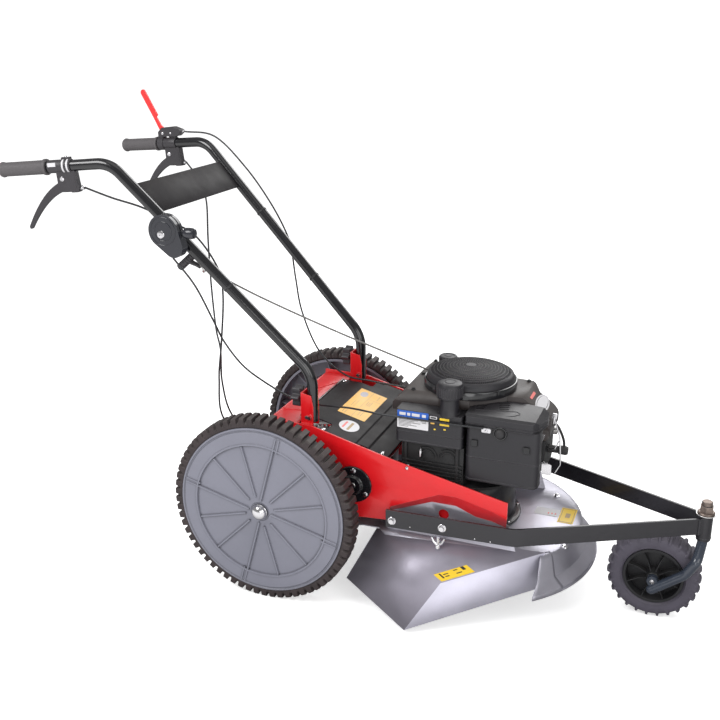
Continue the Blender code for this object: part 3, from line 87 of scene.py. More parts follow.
# ---- mesh tools ------------------------------------------------------------------------------------
def arc(centre, radius, start_deg, end_deg, steps):
    angles = [math.radians(start_deg + (end_deg - start_deg) * i / steps) for i in range(steps + 1)]
    return [(centre[0] + radius * math.cos(a), centre[1] + radius * math.sin(a)) for a in angles]


def rounded_rectangle(low, high, radius, steps):
    inner = [
        (high[0] - radius, high[1] - radius, 0),
        (low[0] + radius, high[1] - radius, 90),
        (low[0] + radius, low[1] + radius, 180),
        (high[0] - radius, low[1] + radius, 270),
    ]
    points = []
    for x, y, start in inner:
        points += arc((x, y), radius, start, start + 90, steps)
    return points


def rounded(points, radius, steps=5):
    """An outline with every corner rounded by the radius, or by less where a side is short."""
    result = []
    count = len(points)
    for i in range(count):
        before, corner, after = (Vector(points[(i + k) % count]) for k in (-1, 0, 1))
        a, b = before - corner, after - corner
        half = a.angle(b) / 2
        if half > 1.5:
            result.append(tuple(corner))
            continue
        reach = min(radius / math.tan(half), 0.45 * a.length, 0.45 * b.length)
        start, end = corner + a.normalized() * reach, corner + b.normalized() * reach
        for k in range(steps + 1):
            t = k / steps
            result.append(tuple((1 - t) ** 2 * start + 2 * t * (1 - t) * corner + t * t * end))
    return result


def belt_loop(centre_a, radius_a, centre_b, radius_b, steps):
    """The outline of a belt round two circles."""
    along = Vector(centre_b) - Vector(centre_a)
    heading = math.degrees(math.atan2(along[1], along[0]))
    lean = math.degrees(math.acos((radius_a - radius_b) / along.length))
    points = arc(centre_a, radius_a, heading + lean, heading + 360 - lean, steps)
    return points + arc(centre_b, radius_b, heading - lean, heading + lean, steps)


def skin(rings, closed=False):
    """A mesh through rings of points, with flat ends unless the last ring joins the first."""
    mesh = bmesh.new()
    rows = [[mesh.verts.new(point) for point in ring] for ring in rings]
    for a, b in zip(rows, rows[1:] + rows[:1] if closed else rows[1:]):
        for i in range(len(a)):
            j = (i + 1) % len(a)
            mesh.faces.new((a[i], a[j], b[j], b[i]))
    if not closed:
        mesh.faces.new(rows[0])
        mesh.faces.new(rows[-1])
    bmesh.ops.recalc_face_normals(mesh, faces=mesh.faces)
    return mesh


def prism(outline, axis, low, high, centre=(0.0, 0.0, 0.0)):
    """An outline in the plane across the axis, drawn out along it from low to high."""
    places = {"x": (1, 2, 0), "y": (0, 2, 1), "z": (0, 1, 2)}[axis]
    rings = []
    for level in (low, high):
        ring = []
        for u, v in outline:
            point = [0.0, 0.0, 0.0]
            point[places[0]] = u + centre[places[0]]
            point[places[1]] = v + centre[places[1]]
            point[places[2]] = level
            ring.append(point)
        rings.append(ring)
    return skin(rings)


def rectangle(low, high):
    return [(low[0], low[1]), (high[0], low[1]), (high[0], high[1]), (low[0], high[1])]


def ellipse(centre, half_x, half_y, steps=40):
    angles = [2 * math.pi * i / steps for i in range(steps)]
    return [(centre[0] + half_x * math.cos(a), centre[1] + half_y * math.sin(a)) for a in angles]


def box(low, high):
    return prism(rectangle(low, high), "z", low[2], high[2])


def frame_along(direction):
    """A rotation that takes Z to the direction."""
    return Vector(direction).normalized().to_track_quat("Z", "Y").to_matrix()


def turned(profile, direction, centre=(0.0, 0.0, 0.0), steps=32):
    """A closed (radius, along) profile turned about the line through centre along direction."""
    turn = frame_along(direction)
    mesh = bmesh.new()
    rings = []
    for radius, along in profile:
        ring = []
        for i in range(1 if radius == 0 else steps):
            angle = 2 * math.pi * (i + 0.5) / steps
            local = Vector((radius * math.cos(angle), radius * math.sin(angle), along))
            ring.append(mesh.verts.new(turn @ local + Vector(centre)))
        rings.append(ring)
    for a, b in zip(rings, rings[1:] + rings[:1]):
        for i in range(steps):
            j = (i + 1) % steps
            corners = [a[i % len(a)], a[j % len(a)], b[j % len(b)], b[i % len(b)]]
            distinct = list(dict.fromkeys(corners))
            if len(distinct) > 2:
                mesh.faces.new(distinct)
    bmesh.ops.recalc_face_normals(mesh, faces=mesh.faces)
    return mesh


def rod(start, end, radius, steps=24):
    start, end = Vector(start), Vector(end)
    length = (end - start).length
    return turned([(0, 0), (radius, 0), (radius, length), (0, length)], end - start, start, steps)


def filleted(points, radii, steps):
    """A path through corners that are rounded by a true arc; one radius for each inner corner."""
    points = [Vector(p) for p in points]
    path = [points[0]]
    for before, corner, after, radius in zip(points, points[1:], points[2:], radii):
        a = (before - corner).normalized()
        b = (after - corner).normalized()
        half = a.angle(b) / 2
        centre = corner + (a + b).normalized() * (radius / math.sin(half))
        start = corner + a * (radius / math.tan(half)) - centre
        end = corner + b * (radius / math.tan(half)) - centre
        sweep = start.angle(end)
        for i in range(steps + 1):
            part = i / steps
            share = math.sin((1 - part) * sweep) * start + math.sin(part * sweep) * end
            path.append(centre + share / math.sin(sweep))
    return path + [points[-1]]


def curve_through(points, steps=8):
    """A smooth path through all the points (Catmull-Rom)."""
    points = [Vector(p) for p in points]
    ends = [2 * points[0] - points[1]] + points + [2 * points[-1] - points[-2]]
    path = []
    for p0, p1, p2, p3 in zip(ends, ends[1:], ends[2:], ends[3:]):
        for i in range(steps):
            t = i / steps
            linear = 2 * p1 + (p2 - p0) * t
            curved = (2 * p0 - 5 * p1 + 4 * p2 - p3) * t * t + (3 * p1 - p0 - 3 * p2 + p3) * t**3
            path.append(0.5 * (linear + curved))
    return path + [points[-1]]


def swept(path, radius, sides=20):
    """A round rod along a path; the radius is a number or one number for each point."""
    path = [Vector(p) for p in path]
    radii = radius if isinstance(radius, list) else [radius] * len(path)
    rings = []
    normal = None
    for i, point in enumerate(path):
        tangent = (path[min(i + 1, len(path) - 1)] - path[max(i - 1, 0)]).normalized()
        if normal is None:
            normal = tangent.orthogonal().normalized()
        normal = (normal - tangent * normal.dot(tangent)).normalized()
        binormal = tangent.cross(normal)
        angles = [2 * math.pi * k / sides for k in range(sides)]
        offsets = [normal * math.cos(a) + binormal * math.sin(a) for a in angles]
        rings.append([point + offset * radii[i] for offset in offsets])
    return skin(rings)


def torus(centre, direction, major, minor, steps=32, sides=12):
    angles = [2 * math.pi * i / sides for i in range(sides)]
    profile = [(major + minor * math.cos(a), minor * math.sin(a)) for a in angles]
    return turned(profile, direction, centre, steps)


def plate(corners, thickness):
    """A thin plate on the given corners, which lie in one plane; it stands proud along their normal."""
    corners = [Vector(c) for c in corners]
    normal = (corners[1] - corners[0]).cross(corners[2] - corners[1]).normalized()
    return skin([corners, [corner + normal * thickness for corner in corners]])


def moved(mesh, matrix):
    """The same mesh, moved in place."""
    bmesh.ops.transform(mesh, matrix=matrix, verts=mesh.verts)
    return mesh


def hex_bolt(base, direction, across=0.013, height=0.006, washer=0.0):
    """A hexagon head with a chamfered top, over an optional washer."""
    base, direction = Vector(base), Vector(direction).normalized()
    start = base + direction * (0.0012 if washer else 0)
    corner = across / math.sqrt(3)
    profile = [(0, -0.002), (corner, -0.002), (corner, height * 0.82), (corner * 0.86, height), (0, height)]
    solids = [turned(profile, direction, start, 6)]
    if washer:
        flat = [(0, -0.001), (washer, -0.001), (washer, 0.0010), (washer - 0.0005, 0.0014), (0, 0.0014)]
        solids.append(turned(flat, direction, base, 28))
    return solids


def pan_screw(base, direction, radius=0.0055):
    """A domed screw head."""
    base, direction = Vector(base), Vector(direction).normalized()
    dome = [
        (0, -0.002), (radius, -0.002), (radius, 0.0008), (radius * 0.8, 0.0026), (radius * 0.4, 0.0034),
        (0, 0.0036),
    ]
    return turned(dome, direction, base, 24)


# ---- materials -------------------------------------------------------------------------------------
class Nodes:
    """A small builder for the node tree of a material or of the world."""

    def __init__(self, tree):
        self.tree = tree

    def add(self, kind, **settings):
        node = self.tree.nodes.new(kind)
        for key, value in settings.items():
            setattr(node, key, value)
        return node

    def link(self, source, target):
        self.tree.links.new(source, target)

    def noise(self, scale, detail=4.0, roughness=0.55, stretch=(1, 1, 1)):
        mapping = self.add("ShaderNodeMapping")
        mapping.inputs["Scale"].default_value = stretch
        self.link(self.add("ShaderNodeTexCoord").outputs["Object"], mapping.inputs["Vector"])
        node = self.add("ShaderNodeTexNoise")
        node.inputs["Scale"].default_value = scale
        node.inputs["Detail"].default_value = detail
        node.inputs["Roughness"].default_value = roughness
        self.link(mapping.outputs["Vector"], node.inputs["Vector"])
        return node.outputs["Fac"]

    def span(self, value, low, high, from_low=0.3, from_high=0.7):
        node = self.add("ShaderNodeMapRange")
        self.link(value, node.inputs["Value"])
        settings = {"From Min": from_low, "From Max": from_high, "To Min": low, "To Max": high}
        for key, number in settings.items():
            node.inputs[key].default_value = number
        return node.outputs["Result"]

    def math(self, operation, *values):
        node = self.add("ShaderNodeMath", operation=operation)
        for socket, value in zip(node.inputs, values):
            if isinstance(value, (int, float)):
                socket.default_value = value
            else:
                self.link(value, socket)
        return node.outputs["Value"]

    def mix(self, factor, a, b):
        node = self.add("ShaderNodeMix", data_type="RGBA")
        for socket, value in ((node.inputs["Factor"], factor), (node.inputs["A"], a), (node.inputs["B"], b)):
            if isinstance(value, (tuple, list)):
                socket.default_value = (*value[:3], 1.0)
            elif isinstance(value, (int, float)):
                socket.default_value = value
            else:
                self.link(value, socket)
        return node.outputs["Result"]

    def part_of(self, source, axis):
        """One part, X, Y or Z, of the geometry's Normal or Position."""
        split = self.add("ShaderNodeSeparateXYZ")
        self.link(self.add("ShaderNodeNewGeometry").outputs[source], split.inputs["Vector"])
        return split.outputs[axis]

    def bump(self, heights):
        """Bump nodes in a chain, one for each (height, distance) pair, and the normal that they give."""
        normal = None
        for height, distance in heights:
            node = self.add("ShaderNodeBump")
            node.inputs["Distance"].default_value = distance
            node.inputs["Strength"].default_value = 1.0
            self.link(height, node.inputs["Height"])
            if normal is not None:
                self.link(normal, node.inputs["Normal"])
            normal = node.outputs["Normal"]
        return normal

    def edge_share(self, radius):
        """About 1 on edges sharper than the radius, 0 on flat stretches."""
        bevel = self.add("ShaderNodeBevel", samples=4)
        bevel.inputs["Radius"].default_value = radius
        geometry = self.add("ShaderNodeNewGeometry")
        dot = self.add("ShaderNodeVectorMath", operation="DOT_PRODUCT")
        self.link(bevel.outputs["Normal"], dot.inputs[0])
        self.link(geometry.outputs["Normal"], dot.inputs[1])
        return self.span(dot.outputs["Value"], 1.0, 0.0, 0.80, 0.99)


def tinted(colour, factor):
    """The colour made darker or lighter by a factor."""
    return tuple(min(1.0, c * factor) for c in colour)


def surface(
    name,
    colour,
    roughness,
    metallic=0.0,
    coat=0.0,
    mottle=0.08,
    mottle_scale=14.0,
    grain=None,
    waves=None,
    edge=None,
    dust=0.0,
    specular=0.5,
    stretch=(1, 1, 1),
    shade_in_creases=None,
):
    """A procedural finish: mottled colour, uneven gloss, fine grain and slow waves in the surface,
    edges lightened as wear and painted highlight, painted shade darkening the creases, and dust on what faces
    up."""
    material = bpy.data.materials.new(name)
    material.use_nodes = True
    n = Nodes(material.node_tree)
    slow = n.noise(mottle_scale, 5.0, 0.6, stretch)
    colour_out = n.mix(n.span(slow, 0, 1), tinted(colour, 1 - mottle), tinted(colour, 1 + mottle))
    speck = n.noise(mottle_scale * 17, 3.0, 0.6, stretch)
    colour_out = n.mix(n.span(speck, 0, 0.5 * mottle + 0.04, 0.5, 0.75), colour_out, tinted(colour, 0.55))
    rough = n.span(slow, roughness * 0.86, min(1.0, roughness * 1.16))
    # Edges lightened towards edge_colour: partly wear, partly a painted highlight where edges catch the light.
    if edge:
        radius, edge_colour, amount = edge
        share = n.math("MULTIPLY", n.edge_share(radius), amount)
        wear_and_highlight = n.math("MULTIPLY", share, n.span(n.noise(60.0, 4.0), 0.45, 1.0, 0.35, 0.6))
        colour_out = n.mix(wear_and_highlight, colour_out, edge_colour)
    if dust:
        up = n.span(n.part_of("Normal", "Z"), 0.0, dust, 0.3, 1.0)
        settled = n.math("MULTIPLY", up, n.span(n.noise(9.0, 6.0, 0.7), 0.3, 1.0, 0.35, 0.65))
        colour_out = n.mix(settled, colour_out, (0.36, 0.34, 0.31))
        rough = n.math("ADD", rough, n.math("MULTIPLY", settled, 0.3))
    # Painted shade: ambient occlusion darkens the colour in creases and hollows where shade falls.
    if shade_in_creases:
        reach, depth = shade_in_creases
        hollow = n.add("ShaderNodeAmbientOcclusion", samples=6)
        hollow.inputs["Distance"].default_value = reach
        crease_shade_mask = n.span(hollow.outputs["AO"], depth, 0.0, 0.45, 0.95)
        colour_out = n.mix(crease_shade_mask, colour_out, tinted(colour, 0.25))
    heights = []
    if waves:
        heights.append((n.noise(waves[0], 2.0, 0.4, stretch), waves[1]))
    if grain:
        heights.append((n.noise(grain[0], 3.0, 0.7, stretch), grain[1]))
    shader = n.tree.nodes["Principled BSDF"].inputs
    if heights:
        n.link(n.bump(heights), shader["Normal"])
    n.link(colour_out, shader["Base Color"])
    n.link(rough, shader["Roughness"])
    shader["Metallic"].default_value = metallic
    shader["Coat Weight"].default_value = coat
    shader["Coat Roughness"].default_value = 0.06
    shader["Specular IOR Level"].default_value = specular
    material.diffuse_color = (*colour, 1.0)
    return material


RED = surface(
    "red_powder_coat", (0.66, 0.005, 0.009), 0.36, coat=0.25, mottle=0.05, waves=(55, 0.0006),
    grain=(900, 0.00006),
    edge=(0.0016, (1.0, 0.34, 0.32), 0.55), dust=0.05,
)
GREY_METAL = surface(
    "grey_metallic_paint", (0.46, 0.45, 0.51), 0.40, metallic=0.80, coat=0.10, mottle=0.06,
    waves=(38, 0.0006),
    grain=(1400, 0.00008), edge=(0.0016, (0.50, 0.50, 0.53), 0.5), dust=0.05,
)
# One grey metallic paint in two copies: a darker one as painted shade on the chute's top and rear wall, a
# lighter one as painted light on its outer wall.
CHUTE_PAINTED_SHADE = surface(
    "chute_grey_painted_shade", (0.34, 0.32, 0.38), 0.46, metallic=0.65, coat=0.05, mottle=0.06,
    waves=(38, 0.0006),
    grain=(1400, 0.00008), edge=(0.0016, (0.60, 0.59, 0.64), 0.6), dust=0.04,
)
CHUTE_PAINTED_LIGHT = surface(
    "chute_grey_painted_light", (0.72, 0.70, 0.82), 0.50, metallic=0.25, coat=0.05, mottle=0.05,
    waves=(38, 0.0006),
    grain=(1400, 0.00008), edge=(0.0016, (0.85, 0.85, 0.90), 0.6), dust=0.03,
)
# The crease setting paints shade into the disc's rib and groove hollows; the edge colour is wear and painted
# highlight.
DISC_GREY = surface(
    "blue_grey_plastic", (0.200, 0.202, 0.246), 0.42, mottle=0.05, mottle_scale=9, grain=(1500, 0.00012),
    waves=(26, 0.0004), edge=(0.0014, (0.42, 0.43, 0.50), 0.45), dust=0.06, shade_in_creases=(0.006, 0.95),
)
TYRE = surface(
    "tyre_rubber", (0.040, 0.030, 0.031), 0.62, mottle=0.25, mottle_scale=22, grain=(700, 0.0003),
    waves=(90, 0.0006),
    edge=(0.0020, (0.120, 0.098, 0.094), 0.75), dust=0.16, specular=0.4,
)
RUBBER = surface(
    "soft_rubber", (0.022, 0.021, 0.023), 0.55, mottle=0.15, grain=(900, 0.0002),
    edge=(0.0012, (0.10, 0.10, 0.10), 0.5),
    dust=0.10,
)
BLACK_PAINT = surface(
    "black_powder_coat", (0.014, 0.013, 0.017), 0.34, coat=0.25, mottle=0.10, waves=(70, 0.0005),
    grain=(1100, 0.0001),
    edge=(0.0014, (0.20, 0.20, 0.21), 0.5), dust=0.05,
)
GLOSS_BLACK = surface(
    "gloss_black_tube", (0.007, 0.007, 0.009), 0.20, coat=0.6, mottle=0.10, waves=(90, 0.0002), dust=0.02,
)
DARK_GREY = surface(
    "dark_grey_paint", (0.018, 0.016, 0.018), 0.60, mottle=0.10, grain=(1200, 0.0001), dust=0.05,
    edge=(0.0010, (0.16, 0.15, 0.16), 0.5), specular=0.25,
)
BLACK_PLASTIC = surface(
    "black_plastic", (0.016, 0.016, 0.018), 0.40, mottle=0.10, grain=(1300, 0.00018),
    edge=(0.0010, (0.16, 0.16, 0.17), 0.5), dust=0.05,
)
# The crease setting paints shade into the hollows of the engine's mouldings.
ENGINE_BLACK = surface(
    "engine_plastic", (0.016, 0.015, 0.019), 0.40, mottle=0.12, grain=(1600, 0.00022), waves=(30, 0.0004),
    edge=(0.0016, (0.14, 0.13, 0.14), 0.6), dust=0.04, shade_in_creases=(0.010, 0.7),
)
ENGINE_BROWN = surface(
    "shroud_plastic", (0.042, 0.034, 0.033), 0.42, mottle=0.12, grain=(1600, 0.00025), waves=(26, 0.0004),
    edge=(0.0020, (0.26, 0.24, 0.23), 0.6), dust=0.14,
)
CAST_BLACK = surface(
    "cast_iron_black", (0.012, 0.012, 0.013), 0.55, mottle=0.25, grain=(420, 0.0007),
    edge=(0.0014, (0.12, 0.12, 0.12), 0.5),
)
CAST_ALLOY = surface("cast_alloy", (0.42, 0.42, 0.43), 0.45, metallic=1.0, mottle=0.12, grain=(500, 0.0004))
STEEL = surface(
    "machined_steel", (0.50, 0.49, 0.48), 0.28, metallic=1.0, mottle=0.10, grain=(260, 0.0001),
    stretch=(1, 1, 9),
)
ZINC = surface("zinc_plate", (0.78, 0.76, 0.75), 0.20, metallic=1.0, mottle=0.08, grain=(600, 0.00006))
RUSTED = surface(
    "browned_steel", (0.25, 0.20, 0.175), 0.42, metallic=0.9, mottle=0.30, mottle_scale=60,
    grain=(500, 0.0003),
    edge=(0.0010, (0.55, 0.50, 0.46), 0.6),
)
CHROME = surface("polished_chrome", (0.74, 0.73, 0.75), 0.16, metallic=1.0, mottle=0.02, waves=(120, 0.00008))
DARK_STEEL = surface(
    "dark_steel", (0.10, 0.10, 0.105), 0.40, metallic=0.8, mottle=0.15, grain=(600, 0.0002),
    edge=(0.001, (0.4, 0.4, 0.4), 0.5),
)
RED_PLASTIC = surface("red_plastic", (0.84, 0.030, 0.030), 0.33, mottle=0.05, grain=(1300, 0.0001), coat=0.1)
WHITE = surface("white_print", (0.66, 0.65, 0.67), 0.42, mottle=0.03, grain=(1200, 0.00005))
YELLOW = surface("yellow_film", (0.86, 0.58, 0.03), 0.38, mottle=0.05, grain=(900, 0.00006))
ORANGE = surface("amber_film", (0.88, 0.50, 0.10), 0.40, mottle=0.06, grain=(900, 0.00006))
BLUE = surface("blue_film", (0.015, 0.10, 0.46), 0.35, mottle=0.12, grain=(900, 0.00006))
PRINT = surface("dark_print", (0.03, 0.028, 0.026), 0.5, mottle=0.1, grain=(900, 0.00006))
ROPE = surface("braided_rope", (0.16, 0.155, 0.15), 0.75, mottle=0.3, mottle_scale=160, grain=(900, 0.0004))
CABLE = surface("cable_sheath", (0.020, 0.021, 0.024), 0.36, coat=0.2, mottle=0.08, grain=(900, 0.00005))
CASTER_RUBBER = surface(
    "caster_rubber", (0.082, 0.074, 0.098), 0.62, mottle=0.14, mottle_scale=30, grain=(700, 0.0003),
    edge=(0.0012, (0.16, 0.15, 0.19), 0.5), dust=0.05,
)
FORK_BLACK = surface(
    "fork_blue_black", (0.030, 0.038, 0.056), 0.26, coat=0.5, mottle=0.08, waves=(80, 0.0003), dust=0.02,
)
GRIP_RUBBER = surface(
    "grip_rubber", (0.095, 0.088, 0.092), 0.60, mottle=0.08, grain=(900, 0.0002),
    edge=(0.0012, (0.2, 0.19, 0.2), 0.4),
)
LEVER_BLACK = surface(
    "satin_black_plastic", (0.040, 0.037, 0.042), 0.42, mottle=0.08, grain=(1300, 0.00012),
    edge=(0.0012, (0.17, 0.16, 0.17), 0.5), dust=0.04,
)
CASE_BLACK = surface(
    "gloss_black_plastic", (0.018, 0.019, 0.026), 0.22, coat=0.4, mottle=0.06, grain=(1300, 0.00005),
    dust=0.03,
)
PALE_BLUE = surface("pale_blue_print", (0.42, 0.40, 0.44), 0.42, mottle=0.05, grain=(900, 0.00006))
PALE_RED = surface("pale_red_print", (0.80, 0.20, 0.18), 0.42, mottle=0.05, grain=(900, 0.00006))
FAINT_PRINT = surface("faint_print", (0.42, 0.30, 0.16), 0.5, mottle=0.1, grain=(900, 0.00006))


# ---- pieces ----------------------------------------------------------------------------------------
def joined(name, meshes):
    """Mesh data made of several meshes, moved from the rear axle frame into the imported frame."""
    whole = bmesh.new()
    for mesh in meshes:
        part = bpy.data.meshes.new("part")
        mesh.to_mesh(part)
        mesh.free()
        whole.from_mesh(part)
        bpy.data.meshes.remove(part)
    bmesh.ops.translate(whole, vec=ORIGIN, verts=whole.verts)
    data = bpy.data.meshes.new(name)
    whole.to_mesh(data)
    whole.free()
    return data


def rounded_edges(obj, width, segments, angle, harden=True):
    modifier = obj.modifiers.new("edges", "BEVEL")
    modifier.width = width
    modifier.segments = segments
    modifier.limit_method = "ANGLE"
    modifier.angle_limit = math.radians(angle)
    modifier.harden_normals = harden


def piece(name, body, layers, replaces=(), bevel=0.0, segments=2, angle=32, blend=None):
    """One object from layers of (material, meshes). It rides on its body, or, given a blend, stays unparented
    with its transform baked.
    """
    solids = []
    for index, (_, meshes) in enumerate(layers):
        for mesh in meshes:
            for face in mesh.faces:
                face.material_index = index
            solids.append(mesh)
    data = joined(name, solids)
    for material, _ in layers:
        data.materials.append(material)
    data.shade_smooth()
    data.set_sharp_from_angle(angle=math.radians(angle))
    obj = bpy.data.objects.new(name, data)
    bpy.context.scene.collection.objects.link(obj)
    if bevel:
        rounded_edges(obj, bevel, segments, angle)
    if replaces:
        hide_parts(*replaces)
    if blend:
        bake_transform(obj)
    else:
        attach(obj, body)
    return obj


def cut(obj, meshes, name="hole", operation="DIFFERENCE"):
    """Boolean cutters in one helper that isn't shown and isn't part of the object."""
    helper = bpy.data.objects.new(f"{obj.name}_{name}", joined(f"{obj.name}_{name}", meshes))
    bpy.context.scene.collection.objects.link(helper)
    modifier = obj.modifiers.new(name, "BOOLEAN")
    modifier.operation = operation
    modifier.object = helper
    modifier.solver = "EXACT"
    bpy.context.view_layer.update()
    result = bpy.data.meshes.new_from_object(obj.evaluated_get(bpy.context.evaluated_depsgraph_get()))
    obj.modifiers.clear()
    result.name = obj.name
    obj.data = result
    bpy.data.objects.remove(helper)


def soften(obj, width, segments=2, angle=32):
    """Smooth shading and rounded edges, for a piece that has been cut."""
    obj.data.shade_smooth()
    obj.data.set_sharp_from_angle(angle=math.radians(angle))
    rounded_edges(obj, width, segments, angle)


def thickened(obj, thickness, offset):
    """A sheet's thickness; an offset of -1 puts it behind the faces and 0 in their middle."""
    modifier = obj.modifiers.new("sheet", "SOLIDIFY")
    modifier.thickness = thickness
    modifier.offset = offset
    return modifier


def dress(node, material, bevel):
    """A CAD node that stays: its own material, welded corners and slightly rounded edges."""
    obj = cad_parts[node]
    obj.data.materials.clear()
    obj.data.materials.append(material)
    obj.data.shade_smooth()
    weld = obj.modifiers.new("weld", "WELD")
    weld.merge_threshold = 0.00001
    obj.data.set_sharp_from_angle(angle=math.radians(32))
    if bevel:
        rounded_edges(obj, bevel, 2, 35, harden=False)


# ---- rear wheels -----------------------------------------------------------------------------------
LUGS = 66


def spun_about_axle(mesh, degrees, centre=(0, 0, WHEEL_Z)):
    place = Matrix.Translation(Vector(centre))
    return moved(mesh, place @ Matrix.Rotation(math.radians(degrees), 4, "Y") @ place.inverted())


def wheel_disc(side, name):
    """The moulded disc: a raised outer band, line ribs in the middle field and a ribbed dish inside."""
    profile = [
        (0.0105, 0.236), (0.029, 0.236), (0.030, 0.2375), (0.030, 0.2990), (0.036, 0.3005), (0.172, 0.3005),
        (0.176, 0.2960), (0.214, 0.2960), (0.2190, 0.2900), (0.2190, 0.2525), (0.2257, 0.2525),
        (0.2260, 0.3020), (0.2252, 0.3056), (0.2215, 0.3068), (0.2195, 0.3050), (0.2170, 0.3048),
        (0.2145, 0.3079), (0.1850, 0.3079), (0.1838, 0.3096), (0.1802, 0.3096), (0.1786, 0.3048),
        (0.0345, 0.3056), (0.0320, 0.3070), (0.0265, 0.3070), (0.0250, 0.3058), (0.0105, 0.3058),
    ]
    disc = turned(profile, (0, side, 0), (0, 0, WHEEL_Z), 128)
    ribs = []
    for i in range(12):
        heading = 15 + 30 * i
        outer = 0.1785
        lines = [(0.0, 0.042, outer)]
        if i % 3 == 0:
            lines = [(-0.0050, 0.176, 0.2150), (0.0050, 0.030, 0.2150)]
        for offset, start, end in lines:
            lift = 0.3056 if end < 0.2 else 0.3066
            section = [
                (offset - 0.0030, lift - 0.001), (offset - 0.0014, lift + 0.0034),
                (offset + 0.0014, lift + 0.0034),
            ]
            section.append((offset + 0.0030, lift - 0.001))
            rib = prism([(u, side * v) for u, v in section], "x", start, end)
            turn = Matrix(((1, 0, 0, 0), (0, 0, 1, 0), (0, 1, 0, WHEEL_Z), (0, 0, 0, 1)))
            ribs.append(spun_about_axle(moved(rib, turn), heading))
        near, far = sorted((side * 0.268, side * 0.3010))
        dish = box((0.030, near, -0.0012), (0.219, far, 0.0012))
        ribs.append(spun_about_axle(moved(dish, Matrix.Translation((0, 0, WHEEL_Z))), heading))
    for mesh in ribs:
        bmesh.ops.recalc_face_normals(mesh, faces=mesh.faces)
    piece(
        f"wheel_disc_{name}", f"wheel_{name}", [(DISC_GREY, [disc, *ribs])], (f"wheel_{name}",),
    )


def rear_tyre(side, name):
    """A narrow tyre whose cross lugs run down both shoulders; the section alternates lug and groove."""
    lug = [
        (0.2264, 0.2560), (0.2264, 0.3030), (0.2300, 0.3042), (0.2440, 0.3040), (0.2478, 0.3022),
        (0.2500, 0.2990), (0.2500, 0.2580), (0.2480, 0.2545), (0.2430, 0.2520), (0.2310, 0.2515),
    ]
    groove = [
        (0.2264, 0.2560), (0.2264, 0.3030), (0.2292, 0.3034), (0.2345, 0.3022), (0.2378, 0.2990),
        (0.2392, 0.2940), (0.2392, 0.2620), (0.2378, 0.2572), (0.2345, 0.2545), (0.2300, 0.2535),
    ]
    rings = []
    for i in range(LUGS):
        base = 2 * math.pi * i / LUGS - math.pi / 2
        step = 2 * math.pi / LUGS
        for share, profile in ((-0.28, lug), (0.28, lug), (0.36, groove), (0.64, groove)):
            angle = base + share * step
            reach = 1 / math.cos(0.28 * step) if profile is lug else 1.0
            ring = []
            for radius, y in profile:
                r = radius * (reach if radius > 0.245 else 1.0)
                ring.append((r * math.cos(angle), side * y, WHEEL_Z + r * math.sin(angle)))
            rings.append(ring)
    layers = [(TYRE, [skin(rings, closed=True)])]
    piece(f"rear_tyre_{name}", f"wheel_{name}", layers, (f"tyre_{name}",), bevel=0.0009, angle=25)


def hub_cap(side, name):
    """A polished dome with a rolled rim."""
    dome = [
        (0.0195 * math.cos(a), 0.3130 + 0.0125 * math.sin(a))
        for a in (math.pi / 2 * i / 8 for i in range(9))
    ]
    profile = [
        (0.0110, 0.3075), (0.0200, 0.3075), (0.0212, 0.3090), (0.0212, 0.3106), (0.0203, 0.3120), *dome[:-1],
    ]
    profile += [(0, 0.3255), (0, 0.3215), (0.0110, 0.3215)]
    cap = turned(profile, (0, side, 0), (0, 0, WHEEL_Z), 48)
    piece(f"axle_cap_{name}", f"wheel_{name}", [(CHROME, [cap])], (f"hub_cap_{name}",))


for sign, word in ((RIGHT, "right"), (LEFT, "left")):
    wheel_disc(sign, word)
    rear_tyre(sign, word)
    hub_cap(sign, word)


# ---- frame and belt cover --------------------------------------------------------------------------
COVER_LINE = (
    (0.0460, 0.4585), (0.1000, 0.4555), (0.2130, 0.4256), (0.2160, 0.4215), (0.2260, 0.4188),
    (0.2290, 0.4268), (0.2500, 0.4215), (0.2530, 0.4160), (0.2620, 0.4136), (0.3000, 0.4015),
)


def cover_z(x):
    """Height of the belt cover's top sheet at x."""
    for (x0, z0), (x1, z1) in zip(COVER_LINE, COVER_LINE[1:]):
        if x <= x1:
            return z0 + (z1 - z0) * (x - x0) / (x1 - x0)
    return COVER_LINE[-1][1]


def film(outline, surface_z, lift=0.0004, thickness=0.0004):
    """A thin film with the given plan outline, lying on a surface whose height is surface_z(x, y)."""
    levels = (lift - thickness, lift)
    return skin([[(x, y, surface_z(x, y) + level) for x, y in outline] for level in levels])


